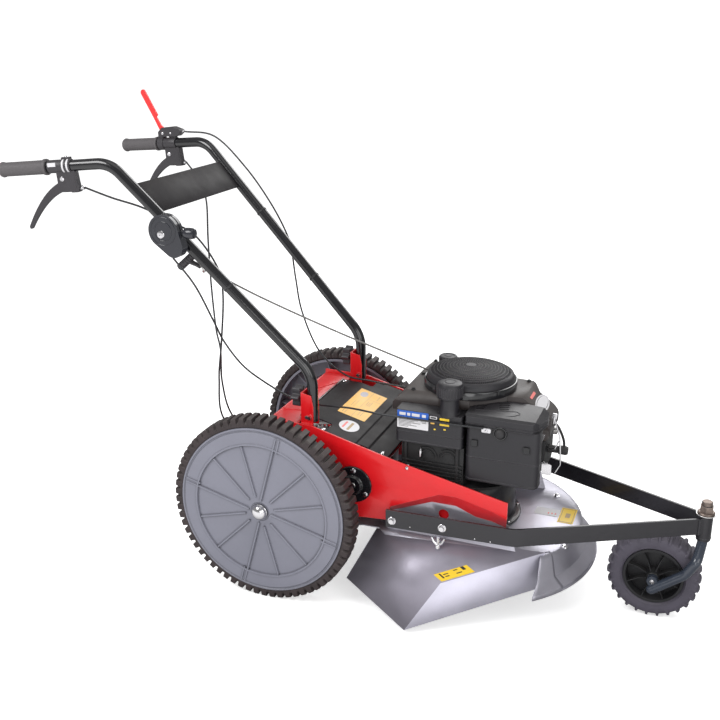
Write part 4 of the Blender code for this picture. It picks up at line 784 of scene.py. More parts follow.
def belt_cover():
    """The folded sheet over the belt: a rolled rear edge, two pressed grooves, labels and screws."""
    under = [(x, z - 0.003) for x, z in reversed(COVER_LINE)]
    sheet = prism(list(COVER_LINE) + under, "y", -0.1965, 0.1965)
    cover = piece("belt_cover_sheet", "chassis", [(DARK_GREY, [sheet])], ("belt_cover",))
    notches = []
    for side in (RIGHT, LEFT):
        low, high = sorted((side * 0.1450, side * 0.2050))
        outline = rounded(rectangle((0.0, low), (0.134, high)), 0.008)
        notches.append(prism(outline, "z", 0.40, 0.50))
    cut(cover, notches)
    soften(cover, 0.0010)

    def on_cover(x, y):
        return cover_z(x)

    rolled = swept([(0.0455, -0.1435, 0.4580), (0.0455, 0.0, 0.4583), (0.0455, 0.1435, 0.4580)], 0.0032)
    flanges = [
        box((0.134, side * 0.1950 - 0.0012, 0.4260), (0.140, side * 0.1950 + 0.0012, 0.4400))
        for side in (RIGHT, LEFT)
    ]
    piece("belt_cover_edge", "chassis", [(GLOSS_BLACK, [rolled]), (DARK_GREY, flanges)])

    label = film(rounded(rectangle((0.1155, -0.068), (0.1915, 0.111)), 0.003), on_cover, 0.0007, 0.0006)
    marks = []
    for y0, y1, x0, x1 in (
        (-0.064, 0.107, 0.1530, 0.1537), (0.061, 0.0617, 0.1555, 0.1880), (-0.020, -0.0193, 0.1180, 0.1510),
        (0.020, 0.050, 0.1600, 0.1612), (0.020, 0.046, 0.1650, 0.1660), (0.020, 0.052, 0.1700, 0.1710),
        (-0.060, -0.026, 0.1250, 0.1262), (-0.060, -0.030, 0.1320, 0.1330), (-0.010, 0.030, 0.1300, 0.1310),
        (-0.010, 0.036, 0.1370, 0.1380), (-0.050, -0.010, 0.1640, 0.1650), (-0.050, -0.016, 0.1710, 0.1720),
        (0.070, 0.100, 0.1740, 0.1750),
    ):
        marks.append(film(rectangle((x0, y0), (x1, y1)), on_cover, 0.0009, 0.0004))
    patch = film(ellipse((0.135, 0.080), 0.010, 0.017), on_cover, 0.0009, 0.0004)
    piece("cover_label", "chassis", [(ORANGE, [label]), (FAINT_PRINT, marks), (PALE_BLUE, [patch])])

    oval = film(ellipse((0.1700, -0.1210), 0.0255, 0.0310), on_cover, 0.0008, 0.0006)
    band = film(rounded(rectangle((0.1560, -0.1400), (0.1610, -0.1030)), 0.002), on_cover, 0.0010, 0.0004)
    band_low = film(rounded(rectangle((0.1700, -0.1440), (0.1765, -0.1000)), 0.002), on_cover, 0.0010, 0.0004)
    piece("cover_oval", "chassis", [(WHITE, [oval]), (PALE_RED, [band]), (FAINT_PRINT, [band_low])])

    screws = []
    for x, y in ((0.127, -0.1900), (0.0560, 0.1300), (0.285, -0.185), (0.285, 0.185), (0.150, 0.190)):
        screws.append(pan_screw((x, y, cover_z(x) + 0.0004), (0.15, 0, 1), 0.0062))
    piece("cover_screws", "chassis", [(CHROME, screws)])


def frame_details():
    """What the welded frame carries besides its plates: bend lines, inner webs and bolts."""
    beads = [
        swept([(-0.029, -0.098, 0.4490), (0.018, -0.093, 0.4490), (0.043, -0.093, 0.4488)], 0.0021, 10),
        swept([(-0.029, 0.072, 0.4490), (0.001, 0.079, 0.4490), (0.033, 0.138, 0.4490)], 0.0021, 10),
    ]
    rear_lip = swept([(-0.0315, -0.197, 0.4475), (-0.0315, 0.197, 0.4475)], 0.0024, 10)
    webs = []
    for side in (RIGHT, LEFT):
        low, high = sorted((side * 0.1745, side * 0.1775))
        webs.append(prism(rounded(rectangle((0.405, 0.232), (0.490, 0.300)), 0.006), "y", low, high))
    piece("frame_ribs", "chassis", [(RED, [*beads, rear_lip, *webs])], bevel=0.0006)

    chrome = []
    for side in (RIGHT, LEFT):
        chrome.append(pan_screw((0.355, side * 0.2025, 0.3860), (0, side, 0), 0.0048))
        chrome.append(pan_screw((0.350, side * 0.1800, 0.3830), (-0.3, 0, 1), 0.0050))
        chrome += hex_bolt((0.0825, side * 0.1895, 0.4750), (0, side, 0), 0.0095, 0.004)
        for degrees in FLANGE_BOLTS:
            angle = math.radians(degrees)
            place = spot(FLANGE_NODES[side])
            base = (place.x + 0.0390 * math.cos(angle), side * 0.2085, FLANGE_Z + 0.0390 * math.sin(angle))
            chrome += hex_bolt(base, (0, side, 0), 0.0095, 0.0048, 0.0068)
    piece("frame_bolts", "chassis", [(CHROME, chrome)])


def bearing_flange(side, name):
    """The glossy round flange of a cross shaft bearing, with its shaft end and dust seal."""
    inner = 0.2023
    profile = [
        (0.0084, inner), (0.0475, inner), (0.0490, inner + 0.0012), (0.0490, inner + 0.0042),
        (0.0475, inner + 0.0062), (0.0270, inner + 0.0066), (0.0245, inner + 0.0090),
        (0.0232, inner + 0.0125), (0.0220, inner + 0.0135), (0.0150, inner + 0.0135),
        (0.0135, inner + 0.0105), (0.0084, inner + 0.0105),
    ]
    flange = turned(profile, (0, side, 0), (FLANGE_X, 0, FLANGE_Z), 64)
    end = turned(
        [(0, inner), (0.0080, inner), (0.0080, 0.2130), (0.0068, 0.2142), (0, 0.2142)], (0, side, 0),
        (FLANGE_X, 0, FLANGE_Z), 32,
    )
    piece(f"bearing_{name}", "chassis", [(GLOSS_BLACK, [flange])], (f"shaft_flange_{name}",))
    piece(f"cross_shaft_end_{name}", "cross_shaft", [(STEEL, [end])])


belt_cover()
frame_details()
for sign, word in ((RIGHT, "right"), (LEFT, "left")):
    bearing_flange(sign, word)


# ---- front frame -----------------------------------------------------------------------------------
ARM_BOLTS = ((0.325, 0.2460), (0.455, 0.2510))
BAR_Y = 0.2250  # the outside of the straight stretch
HEAD_BOTTOM, HEAD_TOP = 0.231, 0.293


def front_bar(side):
    """A flat bar on edge, bent in towards the head tube and rising to the front."""
    outer = ((0.308, BAR_Y), (0.620, BAR_Y), (0.638, 0.2230), (0.656, 0.2140), (1.056, 0.0155))
    inner = ((0.308, 0.2180), (0.618, 0.2180), (0.635, 0.2162), (0.6525, 0.2075), (1.0529, 0.0092))
    heights = ((0.2260, 0.2735), (0.2342, 0.2803), (0.2347, 0.2807), (0.2352, 0.2810), (0.2455, 0.2880))
    rings = []
    for (xo, yo), (xi, yi), (low, high) in zip(outer, inner, heights):
        corners = ((xo, yo, low), (xo, yo, high), (xi, yi, high), (xi, yi, low))
        rings.append([(x, side * y, z) for x, y, z in corners])
    return skin(rings)


def front_frame():
    """Two flat bars bent towards the head tube, with edges lightened by wear and painted highlight, bolts and
    weld seams.
    """
    bolts = []
    for number, side in enumerate((RIGHT, LEFT)):
        replaced = ("front_frame",) if number == 0 else ()
        layers = [(BLACK_PAINT, [front_bar(side)])]
        piece(f"front_arm_{number}", "chassis", layers, replaced, bevel=0.0012, segments=3)
        for x, z in ARM_BOLTS:
            bolts += hex_bolt((x, side * BAR_Y, z), (0, side, 0), 0.0135, 0.0068, 0.0105)
            bolts.append(rod((x, side * 0.1868, z), (x, side * 0.2180, z), 0.0052, 16))
        for x in (0.373, 0.538, 0.577):
            bolts.append(pan_screw((x, side * (BAR_Y - 0.0005), 0.2385), (0, side, 0), 0.0022))
    head_profile = [
        (HEAD_BORE, HEAD_BOTTOM), (0.0165, HEAD_BOTTOM), (0.0178, HEAD_BOTTOM + 0.0012),
        (0.0178, HEAD_TOP - 0.0012), (0.0165, HEAD_TOP), (HEAD_BORE, HEAD_TOP),
    ]
    head = turned(head_profile, UP, HEAD_AXIS, 40)
    seams = []
    for side in (RIGHT, LEFT):
        seams.append(swept([(1.0420, side * 0.0235, z) for z in (0.2460, 0.2670, 0.2878)], 0.0024, 10))
    for z in (HEAD_BOTTOM + 0.001, HEAD_TOP - 0.001):
        seams.append(torus((HEAD_X, 0, z), (0, 0, 1), 0.0174, 0.0012, 40, 8))
    piece("head_tube", "chassis", [(BLACK_PAINT, [head, *seams])])
    piece("arm_bolts", "chassis", [(CHROME, bolts)])


front_frame()


# ---- cutting unit ----------------------------------------------------------------------------------
CHUTE = {
    "rear": Vector((0.272, -0.189, 0.1968)),
    "outer": Vector((0.479, -0.309, 0.1500)),
    "front": Vector((0.7005, -0.1740, 0.2070)),
    "wall_foot": Vector((0.6840, -0.1590, 0.0930)),
    "foot": Vector((0.3960, -0.3305, 0.0115)),
    "rear_foot": Vector((0.2045, -0.2310, 0.0600)),
}


WING_NUT_X, WING_NUT_Y = 0.443, -0.2150


def chute_point(along, inward, lift=0.0):
    """A point on the chute's top: metres along its outer fold, and inwards from the fold."""
    forward = (CHUTE["front"] - CHUTE["outer"]).normalized()
    back = (CHUTE["rear"] - CHUTE["outer"]).normalized()
    normal = forward.cross(back).normalized()
    return CHUTE["outer"] + forward * along + back * inward + normal * lift


def chute_sheet():
    """The folded discharge chute: a top and rear wall in painted shade, and an outer wall in painted light,
    two copies of one grey paint.
    """
    shaded = (("rear", "outer", "front"), ("rear", "rear_foot", "foot", "outer"))
    lit = (("outer", "foot", "wall_foot", "front"),)
    for name, material, walls in (("chute_top", CHUTE_PAINTED_SHADE, shaded), ("chute_wall", CHUTE_PAINTED_LIGHT, lit)):
        mesh = bmesh.new()
        corner = {key: mesh.verts.new(CHUTE[key]) for key in dict.fromkeys(sum(walls, ()))}
        for wall in walls:
            mesh.faces.new([corner[key] for key in wall])
        stands_for = ("discharge_chute",) if name == "chute_top" else ()
        sheet = piece(name, "chassis", [(material, [mesh])], stands_for, angle=4)
        thickened(sheet, 0.0024, -1).use_even_offset = True


def deck_details():
    """Screws, the chute's wing nut, plain stickers and the deck's lap joint."""
    corners = [chute_point(a, b, 0.0001) for a, b in rectangle((0.006, 0.004), (0.090, 0.033))]
    sticker = plate(corners, 0.0006)
    marks = []
    for a0, a1, b0, b1 in (
        (0.016, 0.020, 0.012, 0.030), (0.024, 0.034, 0.014, 0.017), (0.024, 0.036, 0.022, 0.025),
        (0.052, 0.066, 0.014, 0.017), (0.052, 0.062, 0.026, 0.029), (0.072, 0.080, 0.020, 0.032),
    ):
        corners = [chute_point(a, b, 0.0004) for a, b in rectangle((a0, b0), (a1, b1))]
        marks.append(plate(corners, 0.0006))
    piece("chute_sticker", "chassis", [(YELLOW, [sticker]), (PRINT, marks)])

    def deck_top(x, y):
        return DECK_TOP

    square = film(rounded(rectangle((0.697, 0.004), (0.737, 0.088)), 0.003), deck_top, 0.0006, 0.0005)
    frame_lines = []
    for low, high in (
        ((0.700, 0.008), (0.7015, 0.084)), ((0.7325, 0.008), (0.734, 0.084)),
        ((0.700, 0.008), (0.734, 0.0105)), ((0.700, 0.0815), (0.734, 0.084)),
        ((0.712, 0.034), (0.724, 0.058)),
    ):
        frame_lines.append(film(rectangle(low, high), deck_top, 0.0008, 0.0003))
    strip = film(rounded(rectangle((0.632, 0.030), (0.6945, 0.070)), 0.002), deck_top, 0.0006, 0.0005)
    dots = [
        film(ellipse((0.668 + 0.009 * i, 0.044), 0.0022, 0.0045, 16), deck_top, 0.0008, 0.0003)
        for i in range(3)
    ]
    piece(
        "deck_stickers", "chassis",
        [(YELLOW, [square]), (WHITE, [strip]), (FAINT_PRINT, frame_lines), (PALE_RED, dots)],
    )

    chrome = [pan_screw((0.7380, -0.1090, 0.1965), (0.35, -0.15, 1), 0.0075)]
    for degrees in (35, 80, 130, 230):
        angle = math.radians(degrees)
        base = (ENGINE_X + 0.262 * math.cos(angle), 0.262 * math.sin(angle), DECK_TOP)
        if base[1] > -0.17:
            chrome += hex_bolt(base, (0, 0, 1), 0.0110, 0.0052, 0.0090)
    stud = rod((WING_NUT_X, WING_NUT_Y, 0.1850), (WING_NUT_X, WING_NUT_Y, 0.2180), 0.0040, 20)
    collar = turned(
        [(0, 0), (0.0078, 0), (0.0070, 0.0085), (0, 0.0085)], (0, 0, 1), (WING_NUT_X, WING_NUT_Y, 0.1900), 24,
    )
    wings = []
    for s in (-1, 1):
        bends = ((0.0, 0.1960), (0.011, 0.2040), (0.017, 0.2170))
        path = [(WING_NUT_X + s * reach, WING_NUT_Y, z) for reach, z in bends]
        wings.append(swept(path, [0.0045, 0.0040, 0.0028], 12))
    piece("deck_bolts", "chassis", [(CHROME, [*chrome, stud, collar, *wings])])

    lip = [
        (0.3405, 0.1180), (0.3435, 0.1150), (0.3470, 0.1160), (0.3478, 0.1190), (0.3465, 0.1218),
        (0.3425, 0.1210),
    ]
    rolled = turned(lip, UP, ENGINE_AXIS, 96)
    rim = piece("deck_rolled_lip", "chassis", [(GREY_METAL, [rolled])])
    outside = [(0.1, -0.188), (0.672, -0.188), (0.702, -0.150), (0.9, -0.29), (0.9, -0.5), (0.1, -0.5)]
    cut(rim, [prism(outside, "z", 0.05, 0.30)])
    lap = swept(
        [
            (0.7060, -0.1500, 0.1968), (0.7200, -0.1420, 0.1975), (0.7290, -0.1250, 0.1980),
            (0.7290, -0.1000, 0.1985),
        ],
        0.0012, 8,
    )
    piece("deck_lap_joint", "chassis", [(GREY_METAL, [lap])])


def spindle_drum():
    """The satin black drum that carries the blade spindle, with its flange, bolts and belt opening."""
    profile = [
        (0.1260, 0.2004), (0.1440, 0.2004), (0.1450, 0.2014), (0.1450, 0.2040), (0.1430, 0.2052),
        (0.1325, 0.2056), (0.1300, 0.2080), (0.1300, 0.3195), (0.1275, 0.3236), (0.0500, 0.3242),
        (0.0500, 0.3204), (0.1260, 0.3198),
    ]
    drum = turned(profile, UP, ENGINE_AXIS, 96)
    shell = piece("spindle_drum", "chassis", [(BLACK_PAINT, [drum])], ("spindle_housing",))
    cut(shell, [box((0.300, -0.060, 0.256), (0.400, 0.060, 0.290))])
    bolts = []
    for i in range(8):
        angle = math.radians(22.5 + 45 * i)
        base = (ENGINE_X + 0.1385 * math.cos(angle), 0.1385 * math.sin(angle), 0.2052)
        bolts += hex_bolt(base, (0, 0, 1), 0.0075, 0.0040)
    piece("spindle_bolts", "chassis", [(ZINC, bolts)])


def chute_flange():
    """The chute's inner edge, lapped over the deck and folded down into its sloping top."""
    rows = (
        (-0.150, 0.275, 0.712, 0.2018), (-0.186, 0.275, 0.676, 0.2014), (-0.204, 0.299, 0.648, 0.1910),
    )
    rings = []
    for y, rear, front, z in rows:
        corners = ((rear, z), (front, z), (front, z - 0.0012), (rear, z - 0.0012))
        rings.append([(x, y, height) for x, height in corners])
    piece("chute_flange", "chassis", [(GREY_METAL, [skin(rings)])], angle=60)


def deck_skirt_end():
    """The last stretch of the deck's skirt, which runs on to the chute's outer wall."""
    section = [
        (0.290, 0.1998), (0.300, 0.1978), (0.306, 0.1908), (0.318, 0.1418), (0.345, 0.1268), (0.346, 0.1160),
    ]
    steps = 8
    mesh = bmesh.new()
    rows = []
    for i in range(steps + 1):
        share = i / steps
        row = []
        for radius, z in section:
            reach = -36 - 11.0 * (radius - 0.290) / 0.056
            angle = math.radians(-31 + (reach + 31) * share)
            row.append(mesh.verts.new((ENGINE_X + radius * math.cos(angle), radius * math.sin(angle), z)))
        rows.append(row)
    for a, b in zip(rows, rows[1:]):
        for k in range(len(section) - 1):
            mesh.faces.new((a[k], b[k], b[k + 1], a[k + 1]))
    bmesh.ops.recalc_face_normals(mesh, faces=mesh.faces)
    skirt = piece("deck_skirt_end", "chassis", [(GREY_METAL, [mesh])], angle=50)
    thickened(skirt, 0.0022, 0)


chute_sheet()
deck_skirt_end()
deck_details()
chute_flange()
spindle_drum()


# ---- engine ----------------------------------------------------------------------------------------
TANK_Y = -0.168  # the near face of the tank and the filter box
FUEL_NECK = (0.443, -0.149, 0)
OIL_NECK = (0.361, 0.118, 0)
PRIMER_X, PRIMER_Z = 0.575, 0.4985


def tank_plate(x0, x1, z0, z1, lift, thickness=0.0005, radius=0.0015):
    """A film on the tank's near face, in the x-z plane."""
    outline = rounded(rectangle((x0, z0), (x1, z1)), radius, 3)
    return prism(outline, "y", TANK_Y - lift - thickness, TANK_Y - lift + 0.0002)


def fuel_tank():
    """The moulded tank with its seam, its filler neck and plain coloured films on the near face."""
    body = prism(rounded_rectangle((0.312, TANK_Y), (0.4825, -0.1158), 0.010, 6), "z", 0.4395, 0.5240)
    seam = prism(
        rounded_rectangle((0.3112, TANK_Y - 0.0012), (0.4833, -0.1150), 0.0105, 6), "z", 0.4655, 0.4690,
    )
    shelf = prism(
        rounded_rectangle((0.3125, TANK_Y - 0.0010), (0.4820, -0.1155), 0.0105, 6), "z", 0.4395, 0.4440,
    )
    neck_profile = [
        (0, 0.520), (0.0262, 0.520), (0.0255, 0.5265), (0.0238, 0.5320), (0.0228, 0.5400), (0.0226, 0.5640),
        (0.0186, 0.5655), (0.0185, 0.5752), (0, 0.5752),
    ]
    neck = turned(neck_profile, (0, 0, 1), FUEL_NECK, 48)
    boss = prism(rounded_rectangle((0.416, -0.1665), (0.470, -0.1200), 0.016, 6), "z", 0.5225, 0.5275)
    layers = [(ENGINE_BLACK, [body, seam, shelf, neck, boss])]
    piece("tank_shell", "chassis", layers, ("fuel_tank",), bevel=0.0016, segments=3)

    blue = tank_plate(0.3165, 0.3965, 0.5062, 0.5228, 0.0)
    white = tank_plate(0.3165, 0.3965, 0.4775, 0.5060, 0.0)
    yellow = [
        tank_plate(0.4250, 0.4490, 0.5100, 0.5160, 0.0), tank_plate(0.4250, 0.4490, 0.4965, 0.5030, 0.0),
    ]
    yellow += [
        tank_plate(0.4105, 0.4155, 0.4825, 0.4860, 0.0), tank_plate(0.4350, 0.4410, 0.4855, 0.4885, 0.0),
    ]
    amber = [tank_plate(0.4020, 0.4120, 0.4975, 0.5010, 0.0)]
    dark = [tank_plate(0.4020, 0.4160, 0.5122, 0.5160, 0.0006)]
    outline = [tank_plate(0.4000, 0.4180, 0.5105, 0.5175, 0.0)]
    lines = [
        tank_plate(x, x + width, z, z + 0.0011, 0.0005, 0.0003, 0.0004)
        for x, width, z in (
            (0.320, 0.050, 0.4990), (0.320, 0.041, 0.4955), (0.320, 0.056, 0.4920), (0.320, 0.033, 0.4885),
            (0.320, 0.047, 0.4850), (0.377, 0.014, 0.4990), (0.380, 0.011, 0.4955), (0.320, 0.025, 0.4815),
        )
    ]
    stripes = [
        tank_plate(x, x + width, 0.5105, 0.5180, 0.0005, 0.0003, 0.0010)
        for x, width in ((0.322, 0.016), (0.342, 0.008), (0.354, 0.020), (0.380, 0.010))
    ]
    layers = [
        (WHITE, [white, *outline, *stripes]), (BLUE, [blue]), (YELLOW, yellow), (ORANGE, amber),
        (PRINT, [*dark, *lines]),
    ]
    piece("tank_films", "chassis", layers)


def ribbed_cap(node, body, centre, profile, ribs, rib_radius, rib_span):
    """A turned cap with grip ribs round its side."""
    solids = [turned(profile, (0, 0, 1), centre, 64)]
    for i in range(ribs):
        angle = 2 * math.pi * (i + 0.5) / ribs
        foot = Vector((centre[0] + rib_radius * math.cos(angle), centre[1] + rib_radius * math.sin(angle), 0))
        solids.append(rod(foot + Vector((0, 0, rib_span[0])), foot + Vector((0, 0, rib_span[1])), 0.0016, 10))
    piece(f"{node}_shell", body, [(ENGINE_BLACK, solids)], (node,), bevel=0.0004)


def filler_caps():
    fuel = [
        (0.0194, 0.5662), (0.0290, 0.5662), (0.0310, 0.5675), (0.0322, 0.5740), (0.0326, 0.5900),
        (0.0318, 0.5975), (0.0292, 0.6030), (0.0240, 0.6052), (0.0150, 0.6058), (0.0140, 0.6048),
        (0.0125, 0.6048), (0.0115, 0.6060), (0, 0.6062), (0, 0.5765), (0.0194, 0.5765),
    ]
    ribbed_cap("fuel_cap", "fuel_cap", FUEL_NECK, fuel, 30, 0.0317, (0.5725, 0.5955))
    oil = [
        (0, 0.5540), (0.0235, 0.5540), (0.0240, 0.5560), (0.0240, 0.5745), (0.0225, 0.5772), (0.0175, 0.5778),
        (0.0165, 0.5765), (0.0100, 0.5765), (0.0090, 0.5776), (0, 0.5778),
    ]
    ribbed_cap("oil_cap", "oil_cap", OIL_NECK, oil, 18, 0.0238, (0.5560, 0.5750))


SCREEN_RADIUS = 0.1085


def dome_z(radius):
    """Height of the starter screen's outside at a distance from its axis."""
    share = max(0.0, 1 - (radius / 0.1150) ** 2)
    return 0.5700 + 0.0325 * share ** 0.42


def dome_ring(inner, outer, steps=6):
    """A ring of the screen between two radii, 2.6 mm thick."""
    radii = [inner + (outer - inner) * i / steps for i in range(steps + 1)]
    profile = [(r, dome_z(r)) for r in radii] + [(r, dome_z(r) - 0.0026) for r in reversed(radii)]
    return turned(profile, UP, ENGINE_AXIS, 96)


def dome_bar(inner, outer, start, end, width):
    """A slanted bar of the screen, from one ring to the next."""
    rows = []
    for i in range(4):
        share = i / 3
        radius = inner + (outer - inner) * share
        angle = start + (end - start) * share
        half = width / 2 / radius
        row = []
        for offset, drop in ((-half, 0.0), (half, 0.0), (half, 0.0026), (-half, 0.0026)):
            a = angle + offset
            place = (ENGINE_X + radius * math.cos(a), radius * math.sin(a), dome_z(radius) - drop - 0.0003)
            row.append(place)
        rows.append(row)
    return skin(rows)


def starter_screen():
    """The domed screen: rings joined by slanted bars that turn over from row to row, in a glossy rim."""
    bounds = [0.0120 + 0.0082 * i for i in range(12)]
    cap = turned(
        [(0, 0.6026), (0.0060, 0.6025), (0.0122, dome_z(0.0122)), (0.0122, 0.5960), (0, 0.5990)],
        UP, ENGINE_AXIS, 64,
    )
    rings = [cap]
    for low in bounds:
        rings.append(dome_ring(low - 0.0007, low + 0.0007, 1))
    rings.append(dome_ring(0.1020, SCREEN_RADIUS, 3))
    bars = []
    for row, (low, high) in enumerate(zip(bounds, bounds[1:])):
        count = max(12, int(2 * math.pi * (low + high) / 2 / 0.0056))
        lean = (0.0050 if row % 2 else -0.0050) / ((low + high) / 2)
        for i in range(count):
            angle = 2 * math.pi * i / count
            bars.append(dome_bar(low, high, angle - lean / 2, angle + lean / 2, 0.0021))
    wall = turned(
        [
            (0.1075, 0.5490), (0.1128, 0.5490), (0.1132, 0.5560), (0.1126, 0.5700), (0.1108, 0.5775),
            (0.1080, 0.5822), (0.1060, 0.5800), (0.1085, 0.5760), (0.1095, 0.5680),
        ],
        UP, ENGINE_AXIS, 96,
    )
    layers = [(ENGINE_BLACK, [*rings, *bars, wall])]
    piece("screen_dome", "chassis", layers, ("starter_screen",), bevel=0.0003, segments=1)

    band_profile = [
        (0.1134, 0.5486), (0.1172, 0.5486), (0.1180, 0.5496), (0.1180, 0.5668), (0.1172, 0.5686),
        (0.1150, 0.5692), (0.1134, 0.5686),
    ]
    band = piece(
        "screen_band", "chassis", [(GLOSS_BLACK, [turned(band_profile, UP, ENGINE_AXIS, 96)])],
    )
    splits = []
    for degrees in (20, 95, 176, 262, 318):
        turn = Matrix.Translation((ENGINE_X, 0, 0)) @ Matrix.Rotation(math.radians(degrees), 4, "Z")
        splits.append(moved(box((0.1120, -0.0012, 0.5600), (0.1300, 0.0012, 0.5720)), turn))
    cut(band, splits)
    soften(band, 0.0005)


HOOD_TOP = 0.5360


def air_filter():
    """The filter box with its rounded front corner, the slotted hood and the embossed loop."""
    body = prism(rounded_rectangle((0.4900, TANK_Y), (0.6690, -0.1153), 0.016, 8), "z", 0.3640, 0.5085)
    ledge = prism(
        rounded_rectangle((0.4892, TANK_Y - 0.0010), (0.6700, -0.1150), 0.017, 8), "z", 0.4250, 0.4282,
    )
    foot = prism(
        rounded_rectangle((0.4895, TANK_Y - 0.0014), (0.6698, -0.1150), 0.017, 8), "z", 0.3640, 0.3700,
    )
    clips = [box((x, TANK_Y - 0.0045, 0.4560), (x + 0.016, TANK_Y + 0.001, 0.4730)) for x in (0.505, 0.632)]
    layers = [(ENGINE_BLACK, [body, ledge, foot])]
    piece("filter_box", "chassis", layers, ("air_filter_cover",), bevel=0.0016, segments=3)
    piece("filter_clips", "chassis", [(BLACK_PLASTIC, clips)], bevel=0.0020, segments=3)

    plan = [
        (0.4880, -0.1700), (0.6520, -0.1700), (0.6640, -0.1540), (0.6745, -0.1000), (0.6700, -0.0620),
        (0.6080, -0.0500), (0.5640, -0.0500), (0.4880, -0.1125),
    ]
    hood_mesh = prism(rounded(plan, 0.007), "z", 0.5060, HOOD_TOP)
    hood = piece("filter_hood", "chassis", [(ENGINE_BLACK, [hood_mesh])])
    near_slope = prism([(-0.190, 0.518), (-0.190, 0.550), (-0.140, 0.550)], "x", 0.46, 0.70)
    front_slope = prism([(0.700, 0.502), (0.700, 0.550), (0.638, 0.550)], "y", -0.22, 0.0)
    slots = []
    columns = (
        ((0.5105, -0.0810), (0.5115, -0.1210), 0.030), ((0.5575, -0.0565), (0.5690, -0.1085), 0.033),
    )
    for start, end, width in columns:
        for i in range(5):
            share = i / 4
            x = start[0] + (end[0] - start[0]) * share
            y = start[1] + (end[1] - start[1]) * share
            outline = rounded_rectangle(
                (-width / 2 * (1 - 0.25 * share), -0.0026), (width / 2 * (1 - 0.25 * share), 0.0026), 0.0024,
                4,
            )
            turn = Matrix.Translation((x, y, 0)) @ Matrix.Rotation(math.radians(24), 4, "Z")
            slots.append(moved(prism(outline, "z", 0.5300, 0.5420), turn))
    cut(hood, [near_slope])
    cut(hood, [front_slope])
    cut(hood, slots, "slots")
    soften(hood, 0.0018, 3)

    def hood_top(x, y):
        return HOOD_TOP if y > -0.1500 else HOOD_TOP - 0.64 * (-0.1500 - y)

    loop = [
        (0.5010, -0.1340), (0.5130, -0.1580), (0.5980, -0.1440), (0.6130, -0.1240), (0.6010, -0.1120),
        (0.5010, -0.1340),
    ]
    path = [(x, y, hood_top(x, y) - 0.0002) for x, y in rounded(loop[:-1], 0.008)]
    emboss = swept([*path, path[0]], 0.0013, 8)
    rim = []
    for z, grow in ((0.5078, 0.0010), (0.5150, 0.0004)):
        line = [(x, y, z) for x, y in rounded(plan, 0.007)]
        rim.append(swept([*line, line[0]], 0.0012 + grow * 0.3, 8))
    piece("hood_emboss", "chassis", [(ENGINE_BLACK, [emboss, *rim])])


def primer():
    """The primer's rubber bulb and the collar it sits in."""
    profile = [
        (0, 0), (0.0124, 0), (0.0128, 0.0060), (0.0122, 0.0120), (0.0104, 0.0165), (0.0070, 0.0190),
        (0, 0.0200),
    ]
    bulb = turned(profile, (0, -1, 0), (PRIMER_X, -0.1622, PRIMER_Z), 40)
    piece("primer_rubber", "primer_bulb", [(RUBBER, [bulb])], ("primer_bulb",))
    collar = turned(
        [
            (0.0134, 0.0), (0.0172, 0.0), (0.0172, 0.0030), (0.0160, 0.0046), (0.0140, 0.0046),
            (0.0134, 0.0036),
        ],
        (0, -1, 0), (PRIMER_X, -0.1675, PRIMER_Z), 48,
    )
    piece("primer_collar", "chassis", [(GLOSS_BLACK, [collar])])


def shroud_point(x, y):
    """Height of the shroud's front slope at x; the slope is the same across the machine."""
    return 0.548 - 0.7 * (x - 0.600)


